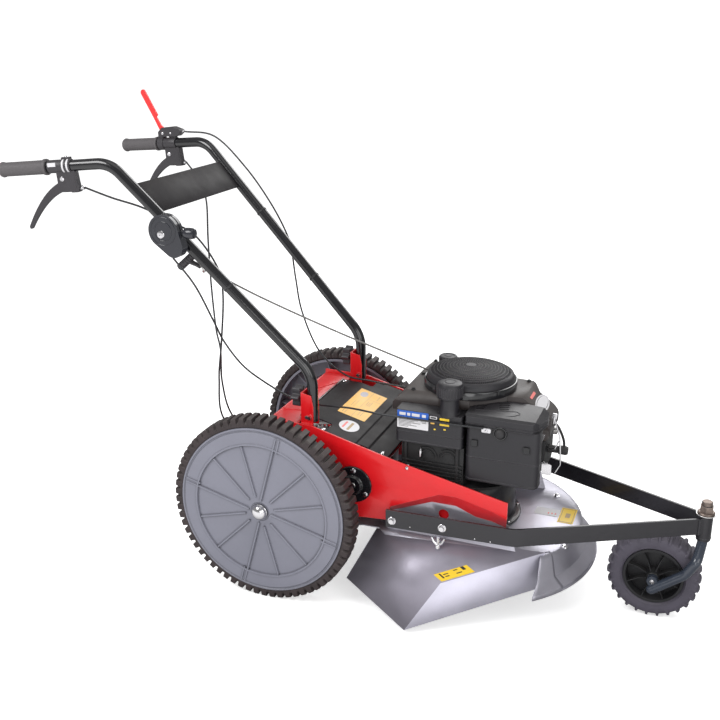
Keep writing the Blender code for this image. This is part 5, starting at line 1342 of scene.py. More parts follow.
def engine_trim():
    """Films, screws, clips and the seams of the shroud and crankcase."""
    def inside(x, y):
        return shroud_point(x, y) - 0.0260

    corner = film(rounded(rectangle((0.590, -0.080), (0.6700, 0.110)), 0.030), inside, 0.0, 0.0266)
    piece(
        "shroud_front_corner", "chassis", [(ENGINE_BROWN, [corner])], bevel=0.0060,
        segments=4, angle=40,
    )
    oval = film(ellipse((0.6400, 0.0060), 0.0150, 0.0540), shroud_point, 0.0010, 0.0008)
    inner_line = film(ellipse((0.6400, 0.0060), 0.0118, 0.0480), shroud_point, 0.0012, 0.0003)
    inner_fill = film(ellipse((0.6400, 0.0060), 0.0108, 0.0470), shroud_point, 0.0013, 0.0003)
    flash = film(rounded(rectangle((0.6120, -0.0180), (0.6180, 0.0280)), 0.002), shroud_point, 0.0014, 0.0004)
    piece("shroud_oval", "chassis", [(WHITE, [oval, inner_fill]), (PRINT, [inner_line]), (PALE_RED, [flash])])

    black = []
    for x, y in ((0.320, 0.140), (0.330, -0.085), (0.500, 0.150), (0.590, 0.075), (0.3200, 0.030)):
        black += hex_bolt((x, y, 0.5480), (0, 0, 1), 0.0080, 0.0040, 0.0060)
    clip = swept(
        [
            (0.377, -0.1590, 0.4005), (0.377, -0.1650, 0.4060), (0.377, -0.1650, 0.4200),
            (0.377, -0.1590, 0.4250),
        ],
        0.0034, 14,
    )
    clamp = prism(rounded_rectangle((0.531, 0.4980), (0.553, 0.5080), 0.003, 4), "y", -0.1755, -0.1675)
    clamp_screw = pan_screw((0.542, -0.1750, 0.5030), (0, -1, 0), 0.0038)
    piece("engine_bolts", "chassis", [(CHROME, [clip, clamp_screw]), (WHITE, [clamp])])

    for x, radius in ((0.3920, 0.0240), (0.4450, 0.0240)):
        for size in (radius, radius - 0.0075):
            angles = [math.radians(a) for a in range(0, 181, 12)]
            black.append(
                swept(
                    [(x + size * math.cos(a), -0.1575, 0.4050 + size * math.sin(a)) for a in angles], 0.0016,
                    8,
                )
            )
    for z in (0.3480, 0.3580, 0.3680, 0.3780, 0.3880):
        black.append(box((0.328, -0.1610, z), (0.482, -0.1540, z + 0.0032)))
    for x in (0.335, 0.468):
        black.append(rod((x, -0.1550, 0.3300), (x, -0.1550, 0.4380), 0.0060, 20))
    seam = turned(
        [(0.1640, 0.3302), (0.1668, 0.3310), (0.1672, 0.3340), (0.1668, 0.3370), (0.1640, 0.3376)],
        UP, ENGINE_AXIS, 96,
    )
    piece("crankcase_ribs", "chassis", [(CAST_BLACK, [*black, seam])], bevel=0.0006)

    ribs = []
    for i in range(5):
        y = -0.070 + 0.040 * i
        ribs.append(
            swept(
                [(0.3115, y, 0.5400), (0.3000, y, 0.5250), (0.2930, y, 0.5080), (0.2925, y, 0.4760)], 0.0014,
                8,
            )
        )
    piece("shroud_ribs", "chassis", [(ENGINE_BROWN, ribs)])


def front_linkage():
    """The governor arm with its spring and rods, the plug boot with its lead, and the muffler's guard."""
    arm_outline = rounded([(0.676, 0.5105), (0.688, 0.5105), (0.690, 0.5250), (0.678, 0.5250)], 0.002)
    arm = prism(arm_outline, "y", -0.0620, -0.0600)
    post = rod((0.682, -0.0610, 0.4980), (0.682, -0.0610, 0.5160), 0.0026, 14)
    link_path = ((0.682, -0.061, 0.515), (0.7, -0.064, 0.465), (0.706, -0.068, 0.396), (0.694, -0.07, 0.372))
    link = swept(link_path, 0.0019, 10)
    tie_path = ((0.664, -0.03, 0.424), (0.676, -0.05, 0.425), (0.69, -0.066, 0.435), (0.698, -0.064, 0.456))
    tie = swept(tie_path, 0.0016, 10)
    coils = []
    for i in range(97):
        angle = 2 * math.pi * i / 8
        coils.append(
            (0.6640 + 0.0035 * math.cos(angle), -0.0900 - 0.0004 * i, 0.4750 + 0.0035 * math.sin(angle))
        )
    spring = swept(coils, 0.0006, 6)
    bracket = prism(
        rounded([(0.660, 0.360), (0.684, 0.360), (0.684, 0.388), (0.660, 0.396)], 0.003), "y", -0.0640,
        -0.0620,
    )
    piece("governor_links", "chassis", [(CHROME, [arm, post, link, tie, spring, bracket])])

    boot = turned(
        [
            (0, 0.6650), (0.0105, 0.6650), (0.0112, 0.6720), (0.0095, 0.6755), (0.0095, 0.6900),
            (0.0115, 0.6920), (0.0118, 0.7080), (0.0098, 0.7140), (0, 0.7150),
        ],
        (1, 0, 0), (0, -0.012, 0.410), 32,
    )
    lead = swept(
        curve_through([
            (0.704, -0.0120, 0.4180), (0.702, -0.0120, 0.4360), (0.692, 0.0000, 0.4520),
            (0.678, 0.0220, 0.4600), (0.660, 0.0450, 0.4580), (0.640, 0.0560, 0.4560),
        ]),
        0.0034, 14,
    )
    piece("plug_boot", "chassis", [(RUBBER, [boot, lead])], ("spark_plug",))

    guard = prism(rounded_rectangle((0.4960, 0.0900), (0.6440, 0.1640), 0.018, 6), "z", 0.3740, 0.4480)
    shield = piece("muffler_guard", "chassis", [(DARK_STEEL, [guard])], ("muffler",))
    vents = []
    for row in range(4):
        for i in range(6):
            x, z = 0.5160 + 0.0210 * i, 0.3860 + 0.0150 * row
            vents.append(
                prism(rounded_rectangle((x, z), (x + 0.0150, z + 0.0060), 0.0028, 3), "y", 0.1600, 0.1700)
            )
    cut(shield, vents)
    soften(shield, 0.0014)
    pipe = turned(
        [(0.0080, 0.6300), (0.0105, 0.6300), (0.0105, 0.6600), (0.0098, 0.6620), (0.0080, 0.6610)],
        (1, 0, 0), (0, 0.130, 0.400), 32,
    )
    piece("muffler_pipe", "chassis", [(STEEL, [pipe])])


fuel_tank()
filler_caps()
starter_screen()
air_filter()
primer()
engine_trim()
front_linkage()


# ---- front wheel -----------------------------------------------------------------------------------
CASTER = Vector((0.949, 0.0, 0.1144))
CASTER_LUGS = 26
LEG_Y = -0.056  # the fork's one leg


def caster_tyre():
    """A tread of staggered blocks on both shoulders, over a smooth side wall."""
    centre_row = [(0.0745, -0.0290), (0.0745, 0.0290), (0.0790, 0.0335), (0.0880, 0.0352), (0.0970, 0.0350)]
    high = [(0.1070, 0.0345), (0.1120, 0.0310), (0.1143, 0.0200), (0.1146, 0.0060)]
    low = [(0.1035, 0.0325), (0.1065, 0.0285), (0.1085, 0.0190), (0.1090, 0.0060)]
    step = 2 * math.pi / CASTER_LUGS
    rings = []
    for i in range(CASTER_LUGS):
        for share, far, near in (
            (-0.34, high, low), (-0.16, high, low), (-0.10, low, low), (0.10, low, low), (0.16, low, high),
            (0.34, low, high), (0.40, low, low), (0.60, low, low),
        ):
            angle = (i + share) * step
            outline = centre_row + far + [(r, -y) for r, y in reversed(near)]
            outline += [(r, -y) for r, y in reversed(centre_row[2:])]
            rings.append([(radius * math.cos(angle), y, radius * math.sin(angle)) for radius, y in outline])
    beads = []
    for side in (RIGHT, LEFT):
        for radius in (0.0800, 0.0930):
            beads.append(torus((0, side * 0.0340, 0), (0, 1, 0), radius, 0.0011, 80, 8))
    whole = [moved(m, Matrix.Translation(CASTER)) for m in (skin(rings, closed=True), *beads)]
    piece(
        "caster_tread", "caster_wheel", [(CASTER_RUBBER, whole)], ("caster_tyre",), bevel=0.0007,
        angle=28,
    )


def caster_wheel():
    """The black plastic wheel: a rim with a flange, a dished web, thin spokes and a hub on a bearing."""
    profile = [
        (0.0063, -0.0415), (0.0135, -0.0415), (0.0150, -0.0400), (0.0165, -0.0200), (0.0180, -0.0060),
        (0.0640, -0.0040), (0.0655, -0.0280), (0.0672, -0.0318), (0.0735, -0.0322), (0.0744, -0.0300),
        (0.0744, 0.0300), (0.0735, 0.0322), (0.0672, 0.0318), (0.0655, 0.0280), (0.0640, 0.0040),
        (0.0180, 0.0060), (0.0165, 0.0200), (0.0150, 0.0345), (0.0135, 0.0360), (0.0063, 0.0360),
    ]
    wheel = turned(profile, (0, 1, 0), CASTER, 80)
    ribs = []
    for side in (RIGHT, LEFT):
        for i in range(8):
            turn = Matrix.Translation(CASTER) @ Matrix.Rotation(math.radians(45 * i + 20), 4, "Y")
            outline = [
                (0.0140, side * 0.0040), (0.0140, side * 0.0330), (0.0400, side * 0.0235),
                (0.0665, side * 0.0290),
            ]
            outline.append((0.0665, side * 0.0040))
            ribs.append(moved(prism(outline, "z", -0.0008, 0.0008), turn))
    ring = turned(
        [(0.0063, -0.0440), (0.0100, -0.0440), (0.0100, -0.0410), (0.0063, -0.0410)], (0, 1, 0), CASTER, 32,
    )
    layers = [(BLACK_PLASTIC, [wheel, *ribs]), (STEEL, [ring])]
    piece("caster_rim", "caster_wheel", layers, ("caster_wheel",), bevel=0.0005)


def caster_fork():
    """One bent rod: the kingpin, the leg beside the wheel and the welded axle boss, with a washer and nut."""
    y = LEG_Y
    corners = [
        (HEAD_X, 0, 0.3270), (HEAD_X, 0, 0.222), (1.0465, y, 0.190), (1.024, y, 0.149), (0.949, y, 0.092),
    ]
    path = filleted(corners, (0.014, 0.018, 0.045), 12)
    boss = turned(
        [
            (0, y - 0.0040), (0.0120, y - 0.0040), (0.0135, y - 0.0020), (0.0135, y + 0.0120),
            (0.0125, y + 0.0130), (0, y + 0.0130),
        ],
        (0, 1, 0), CASTER, 48,
    )
    tip_profile = [
        (0, -0.0124), (0.0070, -0.0102), (0.0108, -0.0060), (0.0124, 0), (0.0108, 0.0060), (0, 0.0124),
    ]
    tip = turned(tip_profile, (1, 0, 0.76), path[-1], 36)
    collar = turned(
        [(0.0120, 0.2240), (0.0165, 0.2240), (0.0175, 0.2255), (0.0175, 0.2300), (0.0120, 0.2300)],
        UP, HEAD_AXIS, 48,
    )
    axle = rod(CASTER + Vector((0, y - 0.004, 0)), CASTER + Vector((0, 0.0385, 0)), 0.0060, 32)
    leg = swept(path, 0.0124, 36)
    bolt = [pan_screw(CASTER + Vector((0, y - 0.004, 0.003)), (0, -1, 0), 0.0050)]
    end_nut = hex_bolt(CASTER + Vector((0, 0.0375, 0)), (0, 1, 0), 0.0130, 0.0070, 0.0100)
    layers = [(FORK_BLACK, [leg, boss, tip]), (BLACK_PAINT, [collar]), (CHROME, [axle, *bolt, *end_nut])]
    piece("fork_leg", "caster_fork", layers, ("caster_fork",))

    washer = turned(
        [
            (HEAD_BORE, 0.2934), (0.0235, 0.2934), (0.0240, 0.2940), (0.0240, 0.2954), (0.0235, 0.2960),
            (HEAD_BORE, 0.2960),
        ],
        UP, HEAD_AXIS, 48,
    )
    nut = turned(
        [
            (HEAD_BORE, 0.2962), (0.0190, 0.2962), (0.0190, 0.2990), (0.0172, 0.3000), (0.0172, 0.3150),
            (0.0158, 0.3170), (HEAD_BORE, 0.3170),
        ],
        UP, HEAD_AXIS, 6,
    )
    skirt = turned(
        [(HEAD_BORE, 0.2962), (0.0212, 0.2962), (0.0214, 0.2978), (0.0190, 0.3010), (HEAD_BORE, 0.3010)],
        UP, HEAD_AXIS, 48,
    )
    crown = turned(
        [(0, 0.3180), (0.0128, 0.3180), (0.0130, 0.3200), (0.0130, 0.3262), (0.0115, 0.3278), (0, 0.3282)],
        UP, HEAD_AXIS, 32,
    )
    layers = [(ZINC, [washer]), (RUSTED, [nut, skirt, crown])]
    piece("kingpin_hardware", "caster_fork", layers, ("kingpin_nut",), bevel=0.0007)


caster_tyre()
caster_wheel()
caster_fork()


# ---- handlebar -------------------------------------------------------------------------------------
TUBE_RADIUS = 0.014
TUBE_BORE = 0.0143  # what is clamped round a tube
TUBE_END = Vector((-0.7096, 0.2749, 1.0674))
TUBE_TOP_BEND = Vector((-0.415, 0.2365, 1.094))
TUBE_LOW_BEND = Vector((0.090, 0.170, 0.587))
FOLD_PIVOT = Vector((0.090, 0.170, 0.475))
LEVER_X = -0.530
THROTTLE = Vector((-0.272, -0.2495, 0.938))
ROPE_GUIDE = Vector((-0.192, -0.187, 0.837))
ROPE_DIRECTION = Vector((-0.95, 0.0, 0.312)).normalized()
KNOB_Z = 0.524


def mirrored(point, side):
    return Vector((point[0], point[1] * side, point[2]))


def tube_point(x, side):
    """The point of a tube's axis at x, on the grip stretch or on the long sloping stretch."""
    a, b = (TUBE_END, TUBE_TOP_BEND) if x < TUBE_TOP_BEND.x else (TUBE_TOP_BEND, TUBE_LOW_BEND)
    return mirrored(a.lerp(b, (x - a.x) / (b.x - a.x)), side)


def handle_frame(side):
    """A matrix from lever coordinates (x along the grip, z up, origin on the tube's axis) to the frame."""
    forward = (mirrored(TUBE_TOP_BEND, side) - mirrored(TUBE_END, side)).normalized()
    across = Vector((0, 0, 1)).cross(forward).normalized()
    matrix = Matrix((forward, across, forward.cross(across))).transposed().to_4x4()
    matrix.translation = tube_point(LEVER_X, side)
    return matrix


def handlebar_tube(side, name):
    """A gloss black tube with its plugged end, fold bolt and decoration rings."""
    corners = [TUBE_END, TUBE_TOP_BEND, TUBE_LOW_BEND, Vector((FOLD_PIVOT.x, FOLD_PIVOT.y, 0.4605))]
    path = filleted([mirrored(p, side) for p in corners], (0.075, 0.090), 20)
    solids = [swept(path, TUBE_RADIUS, 48)]
    chrome = [rod(*[mirrored((FOLD_PIVOT.x, y, FOLD_PIVOT.z), side) for y in (0.1450, 0.1955)], 0.0049, 24)]
    layers = [(GLOSS_BLACK, solids), (ZINC, chrome)]
    if side == RIGHT:
        root = tube_point(-0.1750, side)
        foot = ROPE_GUIDE + Vector((0.004, -0.009, 0.003))
        stem = swept([root, root.lerp(foot, 0.5) + Vector((0, 0.002, 0.004)), foot], 0.0034, 20)
        eye = torus(ROPE_GUIDE, ROPE_DIRECTION, 0.0095, 0.0027, 48, 16)
        layers[1][1].extend([stem, eye])
    piece(f"tube_{name}", "handlebar", layers, (f"handlebar_{name}",))

    to_grip = handle_frame(side)
    if side == RIGHT:
        rings = []
        for x in (-0.0085, 0.0035):
            rings.append(turned(
                [
                    (0.0168, 0), (0.0174, 0.0004), (0.0174, 0.0046), (0.0168, 0.0050), (0.0160, 0.0050),
                    (0.0160, 0),
                ],
                (1, 0, 0), (x, 0, 0), 48,
            ))
        patch = prism(rounded_rectangle((-0.046, 0.001), (-0.024, 0.0105), 0.001, 3), "y", -0.0168, -0.0110)
        piece("tube_rings", "handlebar", [(WHITE, [moved(m, to_grip) for m in (*rings, patch)])])


def grip(side, name):
    """A rubber sleeve with a rolled end, a collar, and fine rings."""
    forward = (mirrored(TUBE_TOP_BEND, side) - mirrored(TUBE_END, side)).normalized()
    profile = [
        (0, -0.0042), (0.0150, -0.0042), (0.0182, -0.0030), (0.0196, 0.0004), (0.0192, 0.0040),
        (0.0180, 0.0066),
    ]
    for i in range(26):
        x = 0.0100 + i * 0.0040
        profile += [(0.0174, x), (0.01770, x + 0.0008), (0.01770, x + 0.0024), (0.0174, x + 0.0032)]
    profile += [
        (0.0172, 0.1170), (0.0185, 0.1182), (0.0200, 0.1190), (0.0203, 0.1205), (0.0203, 0.1255),
        (0.0197, 0.1270), (TUBE_BORE, 0.1270), (TUBE_BORE, -0.0003), (0, -0.0003),
    ]
    sleeve = turned(profile, forward, mirrored(TUBE_END, side), 64)
    piece(f"grip_sleeve_{name}", "handlebar", [(GRIP_RUBBER, [sleeve])], (f"grip_{name}",))


def lever_clamp(side, name):
    """The split clamp, its block with a stepped face, the ears round the lever and the cable adjuster."""
    to_grip = handle_frame(side)
    sleeve = turned(
        [
            (TUBE_BORE, -0.0500), (0.0158, -0.0500), (0.0164, -0.0492), (0.0164, -0.0135), (0.0170, -0.0130),
            (0.0170, 0.0120), (0.0164, 0.0130), (TUBE_BORE, 0.0130),
        ],
        (1, 0, 0), (0, 0, 0), 48,
    )
    block = prism(
        rounded(
            [
                (-0.006, -0.012), (0.022, -0.012), (0.023, -0.040), (0.026, -0.066), (0.004, -0.066),
                (-0.004, -0.044),
            ],
            0.004,
        ),
        "y", -0.0092, 0.0092,
    )
    step = prism(
        rounded([(0.004, -0.019), (0.018, -0.019), (0.020, -0.058), (0.009, -0.058)], 0.003), "y", -0.0102,
        0.0102,
    )
    ear_outline = [(-0.030, -0.0130), (0.022, -0.0130), (0.024, -0.060), (-0.014, -0.062), (-0.030, -0.046)]
    ears = [prism(rounded(ear_outline, 0.004), "y", low, low + 0.0037) for low in (-0.0093, 0.0056)]
    lip = prism([(-0.012, 0.0150), (0.012, 0.0150), (0.012, 0.0215), (-0.012, 0.0215)], "y", -0.0055, 0.0055)
    black = [moved(m, to_grip) for m in (sleeve, block, step, *ears, lip)]
    piece(
        f"clamp_{name}", "handlebar", [(LEVER_BLACK, black)], (f"lever_clamp_{name}",),
        bevel=0.0012,
    )

    chrome = [rod((-0.016, -0.0108, -0.031), (-0.016, 0.0108, -0.031), 0.0034, 20)]
    chrome += hex_bolt((-0.016, -0.0095, -0.031), (0, -1, 0), 0.0080, 0.0034, 0.0058)
    chrome.append(pan_screw((0.0, 0.0, 0.0212), (0, 0, 1), 0.0042))
    adjuster = turned(
        [
            (0, 0), (0.0040, 0), (0.0040, 0.0080), (0.0056, 0.0085), (0.0056, 0.0130), (0.0036, 0.0140),
            (0, 0.0140),
        ],
        (0.35, 0, 0.06), (0.0235, 0, -0.0575), 20,
    )
    chrome.append(adjuster)
    piece(f"clamp_bolts_{name}", "handlebar", [(CHROME, [moved(m, to_grip) for m in chrome])])


def hand_lever(side, name, node):
    """A moulded lever: a head round the pivot and a blade that swings back and down to a round tip."""
    start, bend, tip = Vector((-0.002, -0.018)), Vector((-0.060, -0.034)), Vector((-0.116, -0.119))
    steps, upper, lower = 18, [], []
    for i in range(steps + 1):
        t = i / steps
        point = (1 - t) ** 2 * start + 2 * t * (1 - t) * bend + t * t * tip
        heading = (2 * (1 - t) * (bend - start) + 2 * t * (tip - bend)).normalized()
        across = Vector((-heading.y, heading.x)) * (0.0130 - 0.0080 * t)
        upper.append(tuple(point - across))
        lower.append(tuple(point + across))
    heading = Vector(tip - bend).normalized()
    cap = [tuple(tip + heading * 0.0040)]
    head = [(0.010, 0.006), (0.013, -0.006), (0.020, -0.024), (0.018, -0.034), (0.004, -0.034)]
    outline = [(-0.010, 0.007), *head, *lower[2:], *cap, *reversed(upper[1:])]
    pivot = Vector((-0.016, 0, -0.031))
    body = prism([(x + pivot.x, z + pivot.z) for x, z in outline], "y", -0.0050, 0.0050)
    to_grip = handle_frame(side)
    lever = piece(name, node, [(LEVER_BLACK, [moved(body, to_grip)])], (node,))
    hole = rod(pivot + Vector((0, -0.02, 0)), pivot + Vector((0, 0.02, 0)), 0.0036, 24)
    cut(lever, [moved(hole, to_grip)])
    soften(lever, 0.0021, 4)


def stop_switch():
    """The stop lever's housing on the left tube, and the bright red lever in it."""
    to_grip = handle_frame(LEFT)
    sleeve = turned(
        [
            (TUBE_BORE, -0.0505), (0.0182, -0.0505), (0.0190, -0.0495), (0.0190, -0.0315), (0.0182, -0.0305),
            (TUBE_BORE, -0.0305),
        ],
        (1, 0, 0), (0, 0, 0), 48,
    )
    post = prism(
        rounded([(-0.049, 0.0150), (-0.032, 0.0150), (-0.032, 0.0230), (-0.049, 0.0230)], 0.001), "y",
        -0.0095, 0.0095,
    )
    nose_outline = [
        (-0.010, 0.0197), (0.022, 0.0197), (0.036, 0.0290), (0.036, 0.0370), (0.008, 0.0470),
        (-0.010, 0.0470),
    ]
    nose = prism(rounded(nose_outline, 0.004), "y", -0.0122, 0.0122)
    cheek_outline = [(-0.046, 0.0192), (-0.008, 0.0202), (-0.008, 0.0460), (-0.030, 0.0460), (-0.046, 0.034)]
    cheeks = [prism(rounded(cheek_outline, 0.003), "y", low, low + 0.0082) for low in (-0.0119, 0.0037)]
    ferrule = turned(
        [(0, 0), (0.0042, 0), (0.0042, 0.0080), (0.0032, 0.0095), (0, 0.0095)], (1, 0, 0.1),
        (0.034, 0, 0.032), 20,
    )
    black = [moved(m, to_grip) for m in (sleeve, post, nose, *cheeks)]
    screws = [
        rod((-0.028, -0.0135, 0.0300), (-0.028, 0.0135, 0.0300), 0.0034, 20),
        pan_screw((-0.028, -0.0119, 0.0300), (0, -1, 0), 0.0052),
        pan_screw((0.002, -0.0122, 0.0290), (0, -1, 0), 0.0036),
        ferrule,
    ]
    layers = [(LEVER_BLACK, black), (CHROME, [moved(m, to_grip) for m in screws])]
    piece("stop_housing", "handlebar", layers, ("stop_lever_housing",), bevel=0.0012)

    pivot = Vector((-0.028, 0, 0.0300))
    outline = [
        *arc((0, 0), 0.0105, -150, 40, 12), (-0.0105, 0.0230), (-0.0240, 0.0480), (-0.0180, 0.0520),
        *arc((-0.0620, 0.1185), 0.0088, 27, 207, 14), (-0.0365, 0.0490), (-0.0190, 0.0120),
    ]
    body = prism([(x + pivot.x, z + pivot.z) for x, z in outline], "y", -0.0030, 0.0030)
    lever = piece(
        "stop_blade", "stop_lever", [(RED_PLASTIC, [moved(body, to_grip)])], ("stop_lever",),
    )
    hole = rod(pivot + Vector((0, -0.02, 0)), pivot + Vector((0, 0.02, 0)), 0.0036, 24)
    cut(lever, [moved(hole, to_grip)])
    soften(lever, 0.0012, 3)


def throttle_control():
    """The drop-shaped throttle case with raised rings and a large screw, and the lever with its knob."""
    lower = Vector((THROTTLE.x + 0.038, THROTTLE.z - 0.036))
    middle_x, middle_z = THROTTLE.x + 0.012, THROTTLE.z + 0.002
    outline = belt_loop((middle_x, middle_z), 0.041, lower, 0.026, 36)
    case = prism(outline, "y", THROTTLE.y - 0.013, THROTTLE.y + 0.013)
    clamp = rod(tube_point(-0.282, RIGHT), tube_point(-0.252, RIGHT), 0.0205, 48)
    shell = piece(
        "throttle_case", "handlebar", [(CASE_BLACK, [case])], ("throttle_housing",),
    )
    disc_slot = rod(THROTTLE + Vector((0, -0.002, 0)), THROTTLE + Vector((0, 0.002, 0)), 0.0215, 40)
    opening = [(0, -0.0200), (0.090, -0.0085), (0.090, 0.080), (0.050, 0.080), (0, 0.0200)]
    opening = [(x + THROTTLE.x, z + THROTTLE.z) for x, z in opening]
    sweep = prism(opening, "y", THROTTLE.y - 0.002, THROTTLE.y + 0.002)
    cut(shell, [clamp], "clamp", "UNION")
    axis = tube_point(-0.252, RIGHT) - tube_point(-0.282, RIGHT)
    tube_bore = rod(tube_point(-0.282, RIGHT) - axis * 3, tube_point(-0.252, RIGHT) + axis * 3, TUBE_BORE, 40)
    cut(shell, [tube_bore, disc_slot, sweep])
    soften(shell, 0.0030, 4)

    face = THROTTLE.y - 0.013
    rings = [
        torus((middle_x, face, middle_z), (0, 1, 0), radius, 0.0012, 64, 10)
        for radius in (0.0345, 0.0235)
    ]
    screw = turned(
        [
            (0, 0), (0.0098, 0), (0.0100, 0.0014), (0.0088, 0.0030), (0.0050, 0.0038), (0.0030, 0.0038),
            (0.0026, 0.0026), (0, 0.0026),
        ],
        (0, -1, 0), (middle_x - 0.006, face + 0.0004, middle_z - 0.008), 40,
    )
    piece("throttle_trim", "handlebar", [(CASE_BLACK, rings), (CHROME, [screw])])

    disc = rod(THROTTLE + Vector((0, -0.0017, 0)), THROTTLE + Vector((0, 0.0017, 0)), 0.0205, 48)
    arm = box(
        (THROTTLE.x + 0.010, THROTTLE.y - 0.0017, THROTTLE.z - 0.0045),
        (THROTTLE.x + 0.070, THROTTLE.y + 0.0017, THROTTLE.z + 0.0045),
    )
    knob = turned(
        [
            (0, 0.0640), (0.0080, 0.0645), (0.0118, 0.0668), (0.0134, 0.0705), (0.0138, 0.0780),
            (0.0134, 0.0870), (0.0118, 0.0925), (0.0080, 0.0950), (0, 0.0955),
        ],
        (1, 0, 0), THROTTLE, 40,
    )
    piece(
        "throttle_arm", "throttle_lever", [(CASE_BLACK, [disc, arm, knob])], ("throttle_lever",),
    )


def starter_grip():
    """The ribbed T handle of the starter rope."""
    bar = Vector((0.747, 0.0, 0.666)).normalized()
    centre = ROPE_GUIDE + ROPE_DIRECTION * 0.052
    ribs = [(0, -0.0318), (0.0070, -0.0314)]
    for i in range(8):
        low = -0.0310 + i * 0.00775
        ribs += [
            (0.0088, low + 0.0003), (0.0102, low + 0.0016), (0.0102, low + 0.0060), (0.0088, low + 0.0074),
        ]
    ribs += [(0.0070, 0.0314), (0, 0.0318)]
    handle = turned(ribs, bar, centre, 48)
    stem = turned(
        [
            (0, 0), (0.0062, 0), (0.0064, 0.0100), (0.0056, 0.0300), (0.0066, 0.0385), (0.0050, 0.0400),
            (0, 0.0400),
        ],
        -ROPE_DIRECTION, centre, 32,
    )
    piece(
        "rope_handle", "starter_handle", [(LEVER_BLACK, [handle, stem])], ("starter_handle",),
    )


def clamp_knob(side, name):
    """A six-lobed star knob with a dished face and a chrome bolt."""
    centre = Vector((0, side * FOLD_PIVOT.y, KNOB_Z))
    points = []
    for i in range(72):
        angle = 2 * math.pi * i / 72
        radius = 0.0225 + 0.0052 * math.cos(6 * angle)
        points.append((radius * math.cos(angle), radius * math.sin(angle)))
    star = prism(points, "x", 0.0405, 0.0610, centre)
    body = f"clamp_knob_{name}"
    knob = piece(f"star_{name}", body, [(LEVER_BLACK, [star])], (body,))
    dish_profile = [(0, -0.01), (0.0110, -0.01), (0.0110, 0.0030), (0.0090, 0.0050), (0, 0.0050)]
    dish = turned(dish_profile, (1, 0, 0), centre + Vector((0.0395, 0, 0)), 40)
    cut(knob, [dish])
    soften(knob, 0.0022, 4)
    chrome = [
        rod(centre + Vector((0.0440, 0, 0)), centre + Vector((0.0740, 0, 0)), 0.0039, 24),
        *hex_bolt(centre + Vector((0.0455, 0, 0)), (-1, 0, 0), 0.0100, 0.0050),
        turned([(0, 0.0612), (0.0090, 0.0612), (0.0090, 0.0635), (0, 0.0635)], (1, 0, 0), centre, 32),
    ]
    piece(f"star_bolt_{name}", body, [(CHROME, chrome)])


for sign, word in ((RIGHT, "right"), (LEFT, "left")):
    handlebar_tube(sign, word)
    grip(sign, word)
    lever_clamp(sign, word)
    clamp_knob(sign, word)
hand_lever(RIGHT, "lever_right", "traction_lever")
hand_lever(LEFT, "lever_left", "blade_lever")
stop_switch()
throttle_control()
starter_grip()


# ---- cables and rope -------------------------------------------------------------------------------
CABLES = {
    "traction_cable": [
        handle_frame(RIGHT) @ Vector((0.036, 0, -0.0555)),
        (-0.424, -0.226, 1.006), (-0.352, -0.205, 0.983), (-0.283, -0.182, 0.947), (-0.222, -0.170, 0.912),
        (-0.172, -0.158, 0.833), (-0.164, -0.152, 0.760), (-0.183, -0.138, 0.629), (-0.203, -0.125, 0.517),
        (-0.200, -0.115, 0.400), (-0.110, -0.100, 0.322), (0.080, -0.095, 0.322),
    ],
    "blade_cable": [
        handle_frame(LEFT) @ Vector((0.036, 0, -0.0555)),
        (-0.425, 0.208, 0.986), (-0.373, 0.150, 0.938), (-0.316, 0.050, 0.852), (-0.273, -0.020, 0.745),
        (-0.222, -0.095, 0.650), (-0.196, -0.122, 0.600), (-0.205, -0.105, 0.500), (-0.190, -0.085, 0.400),
        (-0.110, -0.070, 0.315), (0.080, -0.060, 0.315),
    ],
    "throttle_cable": [
        (-0.2440, -0.249, 0.8730), (-0.203, -0.222, 0.800), (-0.180, -0.180, 0.700), (-0.168, -0.150, 0.635),
        (-0.124, -0.142, 0.576), (-0.073, -0.134, 0.537), (0.009, -0.130, 0.498), (0.084, -0.134, 0.490),
        (0.184, -0.150, 0.500), (0.280, -0.1760, 0.507), (0.427, -0.1745, 0.5065), (0.535, -0.1745, 0.508),
    ],
    "stop_cable": [
        handle_frame(LEFT) @ Vector((0.040, 0, 0.032)),
        (-0.392, 0.250, 1.108), (-0.288, 0.236, 1.026), (-0.208, 0.228, 0.930), (-0.159, 0.226, 0.845),
        (-0.140, 0.216, 0.795), (-0.122, 0.200, 0.722), (-0.090, 0.170, 0.635), (-0.025, 0.138, 0.537),
        (0.055, 0.132, 0.478), (0.129, 0.135, 0.468), (0.214, 0.130, 0.466), (0.296, 0.120, 0.470),
    ],
}


def control_cables():
    for name, points in CABLES.items():
        path = curve_through(points, 12)
        start = tuple(ORIGIN + Vector(points[0]))
        end = tuple(ORIGIN + Vector(points[-1]))
        sheath = swept(path, 0.0025, 12)
        piece(
            f"{name}_sheath", None, [(CABLE, [sheath])], (name,),
            blend=("handlebar", "chassis", start, end),
        )
    ties = []
    for x, side in ((-0.230, RIGHT), (-0.120, RIGHT), (-0.230, LEFT), (-0.060, LEFT)):
        place = tube_point(x, side)
        along = tube_point(x + 0.01, side) - place
        ties.append(turned(
            [(0.0142, -0.0024), (0.0154, -0.0024), (0.0154, 0.0024), (0.0142, 0.0024)], along, place, 40,
        ))
    piece("cable_ties", "handlebar", [(BLACK_PLASTIC, ties)])


def starter_rope():
    """The starter rope, from the handle through the guide to the screen's rim."""
    top = ROPE_GUIDE + ROPE_DIRECTION * 0.014
    points = [top, ROPE_GUIDE, (-0.060, -0.140, 0.762), (0.120, -0.070, 0.670), (0.338, 0.030, 0.560)]
    path = curve_through(points, 10)
    rope = swept(path, 0.0024, 12)
    start = tuple(ORIGIN + Vector(ROPE_GUIDE))
    end = tuple(ORIGIN + Vector(points[-1]))
    piece("starter_rope", None, [(ROPE, [rope])], blend=("handlebar", "chassis", start, end))


control_cables()
starter_rope()


